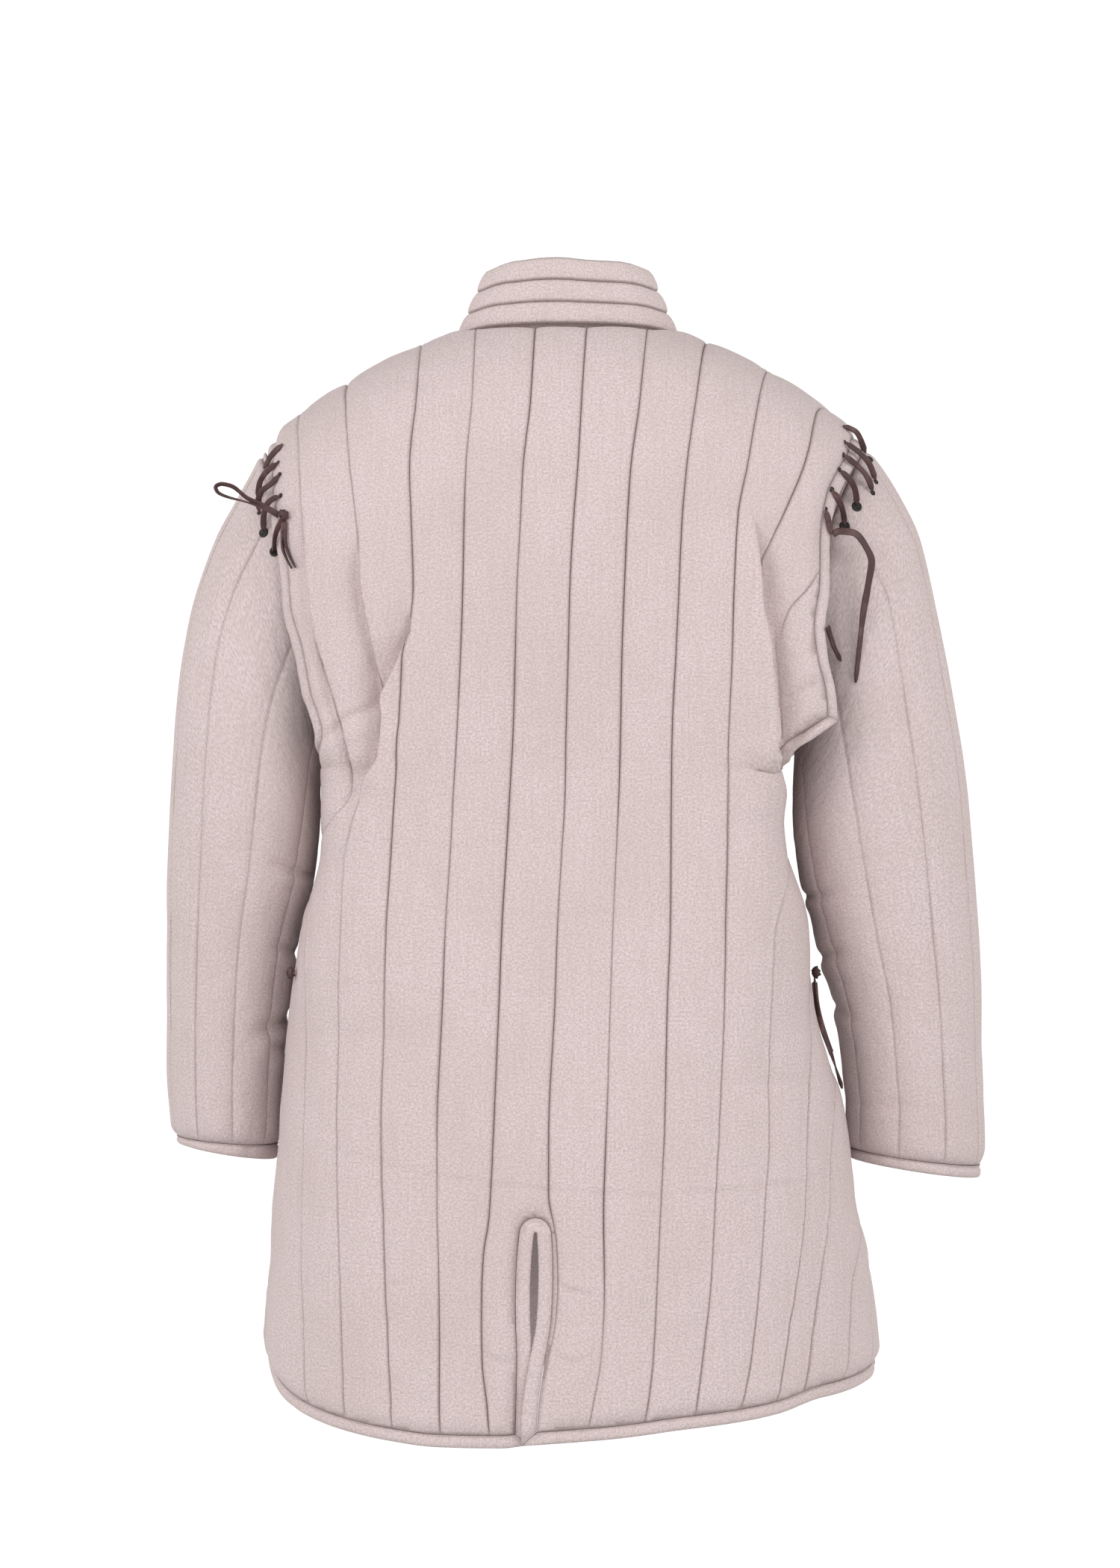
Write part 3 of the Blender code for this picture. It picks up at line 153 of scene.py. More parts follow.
# Back's quilting: each stitched line from the wearer's left to the right, as heights and places in x
BACK_LINES = (
    ((-0.086, 0.2763), (-0.152, 0.2705), (-0.217, 0.2649), (-0.274, 0.2472), (-0.319, 0.2335),
     (-0.355, 0.2212), (-0.405, 0.2116), (-0.434, 0.2180), (-0.467, 0.2320), (-0.526, 0.2446),
     (-0.602, 0.2494), (-0.719, 0.2527), (-0.821, 0.2560), (-0.948, 0.2560)),
    ((-0.090, 0.2331), (-0.154, 0.2290), (-0.220, 0.2226), (-0.275, 0.2159), (-0.320, 0.2023),
     (-0.355, 0.1927), (-0.405, 0.1840), (-0.433, 0.1990), (-0.467, 0.2120), (-0.524, 0.2197),
     (-0.598, 0.2222), (-0.711, 0.2229), (-0.809, 0.2242), (-0.941, 0.2212)),
    ((-0.062, 0.1925), (-0.112, 0.1889), (-0.181, 0.1815), (-0.243, 0.1742), (-0.293, 0.1645),
     (-0.323, 0.1567), (-0.348, 0.1575), (-0.383, 0.1666), (-0.407, 0.1755), (-0.433, 0.1825),
     (-0.466, 0.1874), (-0.523, 0.1914), (-0.596, 0.1933), (-0.708, 0.1944), (-0.806, 0.1918),
     (-0.937, 0.1892)),
    ((0.017, 0.1255), (-0.066, 0.1315), (-0.122, 0.1374), (-0.172, 0.1357), (-0.234, 0.1342),
     (-0.262, 0.1346), (-0.290, 0.1390), (-0.322, 0.1435), (-0.359, 0.1464), (-0.407, 0.1494),
     (-0.465, 0.1520), (-0.522, 0.1549), (-0.595, 0.1557), (-0.706, 0.1576), (-0.803, 0.1546),
     (-0.894, 0.1510), (-0.934, 0.1490)),
    ((0.017, 0.0777), (-0.067, 0.0829), (-0.123, 0.0884), (-0.173, 0.0902), (-0.235, 0.0914),
     (-0.290, 0.0933), (-0.358, 0.0966), (-0.406, 0.0993), (-0.465, 0.1018), (-0.521, 0.1049),
     (-0.594, 0.1072), (-0.705, 0.1106), (-0.771, 0.1097), (-0.829, 0.1083), (-0.932, 0.1088),
     (-0.963, 0.1081)),
    ((0.017, 0.0258), (-0.067, 0.0325), (-0.123, 0.0389), (-0.173, 0.0414), (-0.235, 0.0446),
     (-0.290, 0.0459), (-0.358, 0.0479), (-0.406, 0.0505), (-0.465, 0.0537), (-0.521, 0.0568),
     (-0.593, 0.0592), (-0.704, 0.0635), (-0.770, 0.0666), (-0.801, 0.0704), (-0.829, 0.0716),
     (-0.892, 0.0728), (-0.931, 0.0690), (-0.962, 0.0664)),
    ((0.017, -0.0199), (-0.067, -0.0119), (-0.123, -0.0086), (-0.173, -0.0047), (-0.235, -0.0014),
     (-0.290, -0.0001), (-0.358, 0.0018), (-0.406, 0.0025), (-0.465, 0.0057), (-0.521, 0.0089),
     (-0.593, 0.0115), (-0.704, 0.0166), (-0.752, 0.0166), (-0.790, 0.0110), (-0.828, 0.0110),
     (-0.891, 0.0140), (-0.930, 0.0160), (-0.961, 0.0170)),
    ((0.017, -0.0718), (-0.067, -0.0623), (-0.123, -0.0548), (-0.173, -0.0515), (-0.235, -0.0488),
     (-0.290, -0.0468), (-0.358, -0.0456), (-0.406, -0.0443), (-0.465, -0.0416), (-0.521, -0.0389),
     (-0.593, -0.0362), (-0.704, -0.0321), (-0.770, -0.0301), (-0.828, -0.0301), (-0.891, -0.0281),
     (-0.930, -0.0230), (-0.961, -0.0179)),
    ((0.017, -0.1229), (-0.066, -0.1108), (-0.123, -0.1031), (-0.173, -0.0989), (-0.235, -0.0962),
     (-0.290, -0.0936), (-0.358, -0.0904), (-0.406, -0.0898), (-0.465, -0.0891), (-0.521, -0.0883),
     (-0.594, -0.0847), (-0.704, -0.0810), (-0.770, -0.0776), (-0.829, -0.0749), (-0.891, -0.0716),
     (-0.931, -0.0671), (-0.962, -0.0613)),
    ((0.017, -0.1774), (-0.064, -0.1655), (-0.122, -0.1555), (-0.172, -0.1465), (-0.234, -0.1437),
     (-0.290, -0.1423), (-0.358, -0.1392), (-0.407, -0.1380), (-0.465, -0.1366), (-0.522, -0.1349),
     (-0.595, -0.1325), (-0.705, -0.1270), (-0.772, -0.1228), (-0.830, -0.1200), (-0.893, -0.1134),
     (-0.932, -0.1082)),
    ((0.000, -0.2400), (-0.071, -0.2211), (-0.118, -0.2054), (-0.166, -0.1860), (-0.192, -0.1741),
     (-0.210, -0.1669), (-0.242, -0.1677), (-0.279, -0.1756), (-0.311, -0.1789), (-0.358, -0.1811),
     (-0.407, -0.1889), (-0.440, -0.1902), (-0.486, -0.1817), (-0.538, -0.1726), (-0.626, -0.1690),
     (-0.707, -0.1687), (-0.773, -0.1649), (-0.894, -0.1544), (-0.933, -0.1471)),
    ((-0.098, -0.2610), (-0.170, -0.2345), (-0.198, -0.2240), (-0.229, -0.2070), (-0.253, -0.1891),
     (-0.279, -0.1834), (-0.311, -0.1860), (-0.358, -0.1884), (-0.407, -0.1990), (-0.467, -0.2030),
     (-0.525, -0.2022), (-0.599, -0.2031), (-0.710, -0.2014), (-0.776, -0.1992), (-0.834, -0.1925),
     (-0.896, -0.1828), (-0.935, -0.1766)),
    ((-0.164, -0.2825), (-0.308, -0.2600), (-0.407, -0.2300), (-0.467, -0.2185), (-0.526, -0.2205),
     (-0.602, -0.2246), (-0.713, -0.2238), (-0.778, -0.2202), (-0.836, -0.2130), (-0.898, -0.2043),
     (-0.937, -0.1987)),
    ((-0.300, -0.2900), (-0.602, -0.2387), (-0.719, -0.2488), (-0.786, -0.2494), (-0.840, -0.2408),
     (-0.903, -0.2363), (-0.942, -0.2309)),
)
LINES_EACH_SIDE = 2
# Where the back's lines are faint: beyond these places in x, below this height
FAINT_LEFT = 0.163
FAINT_RIGHT = -0.160
FAINT_BELOW = -0.375
NARROWEST_CHANNEL = 0.006

# Edges of the back, in x and z, as the eye sees them from behind
BACK_ARMHOLE_RIGHT = (
    (-0.2640, -0.1020),
    (-0.2520, -0.1170),
    (-0.2420, -0.1340),
    (-0.2325, -0.1560),
    (-0.2275, -0.1850),
    (-0.2260, -0.2330),
    (-0.2225, -0.2680),
    (-0.2250, -0.2920),
    (-0.2300, -0.3170),
    (-0.2330, -0.3450),
)
BACK_ARMHOLE_LEFT = (
    (0.2650, -0.1000),
    (0.2640, -0.1240),
    (0.2620, -0.1440),
    (0.2570, -0.1740),
    (0.2500, -0.2100),
    (0.2460, -0.2500),
    (0.2370, -0.2850),
    (0.2290, -0.3230),
    (0.2190, -0.3530),
    (0.2110, -0.3800),
)
BACK_HEM = (
    (-0.276, -0.9360),
    (-0.235, -0.9330),
    (-0.215, -0.9350),
    (-0.181, -0.9440),
    (-0.147, -0.9490),
    (-0.094, -0.9540),
    (-0.043, -0.9600),
    (0.034, -0.9660),
    (0.058, -0.9690),
    (0.108, -0.9690),
    (0.158, -0.9650),
    (0.210, -0.9560),
    (0.240, -0.9450),
    (0.262, -0.9300),
)

# Deep folds of the back: side that sinks, rise and sink at the fold, how far each reaches, overhang,
# and the fold's line in x and z
FOLD_COLUMNS = ("sinks", "rise", "sink", "rise_reach", "sink_reach", "overhang", "line")
BACK_FOLDS = (
    (-1, 0.0050, 0.0150, 0.034, 0.032, 0.0055,
     ((-0.1560, -0.1600), (-0.1600, -0.1800), (-0.1610, -0.2115), (-0.1640, -0.2486), (-0.1705, -0.2765),
      (-0.1745, -0.3136), (-0.1770, -0.3370), (-0.1800, -0.3877), (-0.1850, -0.4400))),
    (1, 0.0050, 0.0110, 0.030, 0.024, 0.0050,
     ((0.1345, -0.2300), (0.1336, -0.2568), (0.1325, -0.2684), (0.1441, -0.2954), (0.1545, -0.3222),
      (0.1567, -0.3339), (0.1575, -0.3460), (0.1562, -0.3560), (0.1590, -0.3758), (0.1664, -0.3890),
      (0.1716, -0.4003), (0.1790, -0.4260))),
    (1, 0.0020, 0.0090, 0.020, 0.017, 0.0025,
     ((0.1790, -0.1700), (0.1774, -0.2120), (0.1739, -0.2464), (0.1694, -0.2626), (0.1634, -0.2924),
      (0.1567, -0.3235), (0.1530, -0.3500))),
    (1, 0.0014, 0.0060, 0.016, 0.011, 0.0010,
     ((0.2260, -0.1500), (0.2222, -0.2120), (0.2178, -0.2568), (0.2118, -0.2834), (0.2036, -0.3103),
      (0.1962, -0.3401), (0.1872, -0.3699), (0.1798, -0.3907), (0.1740, -0.4150))),
)
FOLD_END = 0.060

# Shallow creases: depth, half width and line in x and z
CREASES = (
    (0.0035, 0.0050, ((-0.2263, -0.3069), (-0.2029, -0.3185), (-0.1815, -0.3315))),
    (0.0050, 0.0045, ((-0.2240, -0.3385), (-0.2071, -0.3510), (-0.1881, -0.3722))),
    (0.0030, 0.0035, ((-0.2310, -0.3290), (-0.2240, -0.3370), (-0.2180, -0.3440))),
    (0.0026, 0.0050, ((0.2170, -0.3590), (0.2060, -0.3570), (0.1870, -0.3426), (0.1646, -0.3323),
     (0.1570, -0.3300))),
    (0.0030, 0.0060, ((0.2364, -0.2886), (0.2227, -0.3052))),
    (0.0050, 0.0060, ((0.1990, -0.4200), (0.1936, -0.4188), (0.1794, -0.4130), (0.1740, -0.4080))),
    (0.0022, 0.0017, ((0.2156, -0.7157), (0.1640, -0.7270), (0.1103, -0.7393), (0.0159, -0.7493),
     (-0.0713, -0.7551), (-0.1620, -0.7502), (-0.2346, -0.7432))),
    (0.0011, 0.0018, ((0.2181, -0.5768), (0.1545, -0.5741), (0.1046, -0.5862), (0.0567, -0.5807),
     (0.0089, -0.5870))),
    (0.0010, 0.0018, ((0.2157, -0.4471), (0.1520, -0.4510), (0.1019, -0.4559), (0.0524, -0.4506),
     (0.0135, -0.4545))),
    (0.0008, 0.0022, ((0.1570, -0.5076), (0.1043, -0.5116), (0.0070, -0.5164), (-0.0903, -0.5089))),
    (0.0009, 0.0018, ((0.0134, -0.6918), (-0.0315, -0.6874), (-0.0765, -0.6967), (-0.1416, -0.6919))),
    (0.0028, 0.0026, ((0.0121, -0.8256), (0.0006, -0.8340), (-0.0250, -0.8400))),
    (0.0028, 0.0026, ((0.0159, -0.8863), (-0.0026, -0.8955), (-0.0185, -0.8915))),
    (0.0026, 0.0026, ((0.0745, -0.8850), (0.0594, -0.8945), (0.0440, -0.8965))),
    (0.0018, 0.0022, ((0.0560, -0.9330), (0.0480, -0.9390), (0.0380, -0.9370))),
    (0.0016, 0.0024, ((0.1560, -0.8300), (0.1420, -0.8330), (0.1280, -0.8290))),
    (0.0016, 0.0024, ((-0.0600, -0.8240), (-0.0760, -0.8300), (-0.0830, -0.8180))),
)
CREASE_END = 0.020
# Dimples: place in x and z, depth and radius
DIMPLES = (
    (0.1850, -0.4060, 0.0060, 0.0150),
    (0.1680, -0.3000, 0.0030, 0.0160),
)

# Vent
VENT_TOP = -0.786
VENT_FOOT = -0.966
VENT_AT_HEM = 0.032
VENT_AT_TOP = 0.028
VENT_GAP = 0.0022
VENT_OPEN = 0.0052
VENT_OPEN_SPAN = (-0.784, -0.888)
VENT_HEM_CLEAR = 0.020
VENT_LAP = 0.009
VENT_LAP_LIFT = 0.0045
VENT_LAP_TOP = -0.856
VENT_LAP_EASE = 0.09
VENT_LAP_REACH = 0.045

# Side edges: how far behind or before the middle plane, at each height
BACK_SIDE = ((-0.38, 0.052), (-0.43, 0.018), (-0.55, 0.010), (-0.62, 0.006), (-0.95, 0.004))
FRONT_SIDE = ((-0.38, -0.040), (-0.41, -0.014), (-0.55, -0.008), (-0.62, -0.006), (-0.95, -0.008))
BACK_SIDE_TOP_RIGHT = -0.410
BACK_SIDE_TOP_LEFT = -0.408
FRONT_SIDE_TOP = -0.395
BACK_SIDE_FOOT_RIGHT = -0.925
BACK_SIDE_FOOT_LEFT = -0.905
FRONT_SIDE_FOOT = -0.915

# Front edges, the same on both sides
FRONT_ARMHOLE = (
    (0.2640, -0.1040),
    (0.2480, -0.1250),
    (0.2350, -0.1600),
    (0.2250, -0.2100),
    (0.2230, -0.2600),
    (0.2280, -0.3000),
    (0.2290, -0.3300),
)
FRONT_HEM = ((0.262, -0.929), (0.200, -0.938), (0.100, -0.945), (0.000, -0.948))
SLIT_FOOT = -0.230
SLIT_GAP = 0.004

# Neck hole, in plan
NECK_HALF_WIDTH = 0.099
NECK_BACK = 0.050
NECK_FRONT = 0.066

# Collar
COLLAR_ROLLS = 3
COLLAR_HEIGHT = 0.067
COLLAR_STAND = 0.008
COLLAR_INSET = 0.0008
COLLAR_LEAN = 0.029
COLLAR_LEAN_BACK = 0.009
COLLAR_RINGS = 220
COLLAR_STEPS = 16
COLLAR_OPENING = 0.016
COLLAR_WALL = 0.0050
COLLAR_ROLL = 0.0052

# Sleeves: each ring's outer and inner point from behind, its middle and half depth front to back
SLEEVE_COLUMNS = ("outer_x", "outer_z", "inner_x", "inner_z", "middle_y", "half_depth")
SLEEVE_RIGHT = (
    (0.2635, -0.1000, 0.2180, -0.3000, 0.000, 0.061),
    (0.2790, -0.1210, 0.2130, -0.3350, 0.000, 0.064),
    (0.2980, -0.1560, 0.2090, -0.3700, 0.000, 0.066),
    (0.3120, -0.1880, 0.2080, -0.3900, 0.000, 0.067),
    (0.3260, -0.2520, 0.2090, -0.4120, 0.000, 0.067),
    (0.3380, -0.3190, 0.2110, -0.4380, 0.000, 0.066),
    (0.3480, -0.3865, 0.2170, -0.4700, -0.002, 0.064),
    (0.3550, -0.4540, 0.2250, -0.5060, -0.006, 0.062),
    (0.3600, -0.5210, 0.2350, -0.5440, -0.010, 0.060),
    (0.3640, -0.5890, 0.2500, -0.5930, -0.016, 0.058),
    (0.3660, -0.6560, 0.2590, -0.6540, -0.022, 0.055),
    (0.3680, -0.7030, 0.2630, -0.6970, -0.026, 0.053),
    (0.3685, -0.7560, 0.2615, -0.7400, -0.030, 0.051),
)
SLEEVE_LEFT = (
    (0.2730, -0.1070, 0.2230, -0.3000, 0.000, 0.061),
    (0.2800, -0.1230, 0.2210, -0.3400, 0.000, 0.064),
    (0.2970, -0.1560, 0.2240, -0.3740, 0.000, 0.066),
    (0.3130, -0.1880, 0.2270, -0.3960, 0.000, 0.067),
    (0.3330, -0.2520, 0.2280, -0.4160, 0.000, 0.067),
    (0.3430, -0.3190, 0.2300, -0.4380, 0.000, 0.066),
    (0.3480, -0.3865, 0.2340, -0.4650, -0.004, 0.063),
    (0.3510, -0.4540, 0.2410, -0.4980, -0.010, 0.060),
    (0.3530, -0.5210, 0.2520, -0.5370, -0.018, 0.057),
    (0.3540, -0.5890, 0.2600, -0.5900, -0.026, 0.054),
    (0.3535, -0.6560, 0.2660, -0.6540, -0.032, 0.050),
    (0.3515, -0.7030, 0.2690, -0.6980, -0.036, 0.047),
    (0.3490, -0.7270, 0.2700, -0.7400, -0.039, 0.045),
)
SLEEVE_CHANNELS = 9
SLEEVE_CROWN = 0.0105
SLEEVE_AT_LINES = 0.0082
SLEEVE_ROW = 0.0042
SLEEVE_LINING_RINGS = 40
SLEEVE_SEAM_SHADE = 0.28
SLEEVE_TURNS = 120
SLEEVE_STITCH_TURNS = 240
SLEEVE_STITCH_POINTS = 160
SLEEVE_STITCH_INSET = 0.004
SLEEVE_LINE_RIGHT = 0.060
SLEEVE_LINE_LEFT = 0.080
HEAD_HUG_RIGHT = 0.027
HEAD_HUG_LEFT = 0.010
HEAD_HUG_LENGTH = 0.10
HUG_AT_SHOULDER = 0.25
# Creases across the sleeves: height, place around, half span around, depth, half width and slope
SLEEVE_CREASES_RIGHT = (
    (-0.470, -0.20, 0.12, 0.0030, 0.006, 0.05),
    (-0.545, -0.22, 0.12, 0.0035, 0.007, -0.05),
    (-0.600, -0.24, 0.12, 0.0030, 0.006, 0.08),
    (-0.690, -0.12, 0.16, 0.0012, 0.005, 0.02),
)
SLEEVE_CREASES_LEFT = (
    (-0.450, -0.16, 0.12, 0.0035, 0.006, 0.06),
    (-0.545, -0.22, 0.12, 0.0030, 0.006, -0.06),
    (-0.616, -0.20, 0.14, 0.0050, 0.007, 0.05),
    (-0.640, -0.22, 0.10, 0.0035, 0.006, -0.06),
)

# Laces: flat leather, in x and z along each stretch as seen from behind
LACE_WIDTH = 0.0052
LACE_THICKNESS = 0.0016
LACE_STEP = 0.002
LACE_POINT_STEP = 0.0015
# How high laces lie, as a share of their thickness: bars, and free ends that cross them
BAR_LIFT = 0.6
END_LIFT = 1.1
RIGHT_BARS = (
    ((-0.2451, -0.0812), (-0.2570, -0.0858), (-0.2669, -0.1030)),
    ((-0.2461, -0.0976), (-0.2613, -0.1081), (-0.2692, -0.1173), (-0.2744, -0.1298)),
    ((-0.2442, -0.1094), (-0.2613, -0.1225), (-0.2678, -0.1317), (-0.2711, -0.1403)),
    ((-0.2399, -0.1229), (-0.2517, -0.1347), (-0.2550, -0.1439), (-0.2563, -0.1531)),
    ((-0.2320, -0.1413), (-0.2399, -0.1531), (-0.2432, -0.1617), (-0.2451, -0.1708)),
    ((-0.2261, -0.1590), (-0.2287, -0.1702), (-0.2307, -0.1814)),
)
LEFT_BARS = (
    ((0.2527, -0.0987), (0.2634, -0.1088), (0.2706, -0.1188)),
    ((0.2565, -0.1160), (0.2679, -0.1246), (0.2736, -0.1338), (0.2757, -0.1466)),
    ((0.2547, -0.1274), (0.2621, -0.1352), (0.2707, -0.1409), (0.2742, -0.1494), (0.2742, -0.1587)),
    ((0.2533, -0.1466), (0.2607, -0.1494), (0.2664, -0.1551), (0.2692, -0.1665), (0.2696, -0.1765)),
)
KNOT_BAR = ((0.2493, -0.1665), (0.2550, -0.1751), (0.2579, -0.1836), (0.2593, -0.1936))
# Eyelets: place in x and z, and radius. Those on the body's edge show as small dark slits, drawn as small
# black rings whose dark holes are painted shade.
EYELETS = (
    (-0.2563, -0.1540, 0.0039),
    (-0.2451, -0.1716, 0.0039),
    (-0.2705, -0.1090, 0.0030),
    (-0.2748, -0.1306, 0.0020),
    (-0.2713, -0.1411, 0.0020),
    (-0.2455, -0.0970, 0.0016),
    (-0.2437, -0.1090, 0.0020),
    (-0.2396, -0.1225, 0.0018),
    (-0.2318, -0.1408, 0.0022),
    (-0.2259, -0.1585, 0.0018),
    (0.2696, -0.1772, 0.0039),
    (0.2594, -0.1944, 0.0039),
    (0.2757, -0.1474, 0.0024),
    (0.2742, -0.1593, 0.0016),
    (0.2560, -0.1156, 0.0014),
    (0.2542, -0.1270, 0.0018),
    (0.2528, -0.1462, 0.0018),
)
EYELET_RING = 0.0009

SHOULDER_CORDS = {
    "shoulder_tail_right": (
        (-0.2320, -0.1808),
        (-0.2386, -0.1781),
        (-0.2504, -0.1794),
        (-0.2623, -0.1926),
        (-0.2669, -0.2045),
        (-0.2643, -0.2229),
        (-0.2597, -0.2512),
        (-0.2570, -0.2775),
        (-0.2537, -0.3105),
    ),
    "shoulder_end_right": ((-0.2267, -0.2631), (-0.2327, -0.2775), (-0.2406, -0.2914)),
    "shoulder_bow_left": (
        (0.2540, -0.1626),
        (0.2679, -0.1551),
        (0.2808, -0.1494),
        (0.2963, -0.1380),
        (0.3048, -0.1364),
        (0.3098, -0.1393),
        (0.3077, -0.1437),
        (0.2992, -0.1478),
        (0.2849, -0.1516),
        (0.2679, -0.1575),
        (0.2545, -0.1650),
    ),
    "shoulder_tail_left": (
        (0.2493, -0.1700),
        (0.2503, -0.1807),
        (0.2500, -0.1921),
        (0.2461, -0.2035),
        (0.2417, -0.2114),
    ),
    "shoulder_end_left": ((0.2478, -0.1700), (0.2478, -0.1850), (0.2445, -0.1985), (0.2385, -0.2105)),
}
HIP_CORDS = {
    "hip_loop_right": (
        (0.0180, -0.5790),
        (0.0150, -0.6000),
        (0.0130, -0.6200),
        (0.0140, -0.6400),
        (0.0180, -0.6470),
        (0.0225, -0.6400),
        (0.0230, -0.6200),
        (0.0240, -0.6000),
        (0.0235, -0.5790),
    ),
    "hip_tail_right": (
        (0.0300, -0.5740),
        (0.0330, -0.5870),
        (0.0310, -0.6100),
        (0.0290, -0.6400),
        (0.0300, -0.6620),
        (0.0290, -0.6760),
    ),
}

# Side laces
SIDE_LACE_TOP = -0.425
SIDE_LACE_FOOT = -0.560
SIDE_LACE_STEP = 0.026
SIDE_EYELET_INSET = 0.016
SIDE_EYELET = 0.0036
SIDE_LACE_LIFT = 0.0085
SIDE_LACE_BOW = 0.004

# Stitches
STITCH_PITCH = 0.0034
STITCH_LENGTH = 0.0027
STITCH_RADIUS = 0.00034

# Colours
CANVAS = (0.720, 0.612, 0.614)
CANVAS_SHADE = (0.50, 0.40, 0.375)
CANVAS_SHADE_SOFT = (0.675, 0.568, 0.558)
GRAIN_SHADE = (0.450, 0.365, 0.345)
# Colour of the painted shade along seams, stitched lines and binding folds
GROOVE_SHADE_COLOUR = (0.16, 0.105, 0.085)
FLECK = (0.26, 0.17, 0.12)
THREAD = (0.66, 0.57, 0.56)
LEATHER = (0.052, 0.020, 0.019)
LEATHER_WORN = (0.145, 0.074, 0.068)
# Black of the eyelets' rings, also the painted shade on the discs that close their holes
EYELET_BLACK = (0.006, 0.006, 0.007)
EYELET_SCUFFED = (0.03, 0.026, 0.024)
WEAVE_PITCH = 0.0011


def curve_through(x, knots, values):
    """Values on a smooth curve through the knots, with no overshoot between them."""
    knots = np.asarray(knots, float)
    values = np.asarray(values, float)
    x = np.clip(x, knots[0], knots[-1])
    steps = np.diff(knots)
    slopes = np.diff(values) / steps
    tangents = np.zeros(len(knots))
    turning = slopes[:-1] * slopes[1:] <= 0
    total = np.where(turning, 1.0, slopes[:-1] + slopes[1:])
    tangents[1:-1] = np.where(turning, 0.0, 2 * slopes[:-1] * slopes[1:] / total)
    tangents[0] = slopes[0]
    tangents[-1] = slopes[-1]
    i = np.clip(np.searchsorted(knots, x, side="right") - 1, 0, len(steps) - 1)
    t = (x - knots[i]) / steps[i]
    ends = values[i] * (1 + 2 * t) * (1 - t) ** 2 + values[i + 1] * t * t * (3 - 2 * t)
    return ends + steps[i] * (tangents[i] * t * (1 - t) ** 2 - tangents[i + 1] * t * t * (1 - t))


def table_at(x, rows):
    """The second column of a two-column table, at x in the first."""
    ordered = sorted(rows)
    return curve_through(x, [row[0] for row in ordered], [row[1] for row in ordered])


def smooth_path(points, spacing):
    """Points at an even spacing along a smooth curve through the given ones."""
    points = np.asarray(points, float)
    along = lengths_along(points)
    count = max(2, int(round(along[-1] / spacing)) + 1)
    at = np.linspace(0, along[-1], count)
    return np.stack([curve_through(at, along, column) for column in points.T], axis=1)


def lengths_along(points):
    return np.concatenate([[0], np.cumsum(np.linalg.norm(np.diff(points, axis=0), axis=1))])


def unit(vectors):
    return vectors / np.linalg.norm(vectors, axis=-1, keepdims=True)


def ramp(share):
    """From 0 to 1 with flat ends."""
    share = np.clip(share, 0, 1)
    return share * share * (3 - 2 * share)


def noise(u, v, scale, seed):
    """Smooth random values from -1 to 1, with a step of scale between its lattice points."""
    lattice = np.random.default_rng(seed).uniform(-1, 1, (97, 89))
    x, y = np.asarray(u) / scale + 700, np.asarray(v) / scale + 700
    i, j = np.floor(x).astype(int), np.floor(y).astype(int)
    a, b = ramp(x - i), ramp(y - j)
    corner = [lattice[(i + di) % 97, (j + dj) % 89] for di in (0, 1) for dj in (0, 1)]
    return (corner[0] * (1 - b) + corner[1] * b) * (1 - a) + (corner[2] * (1 - b) + corner[3] * b) * a


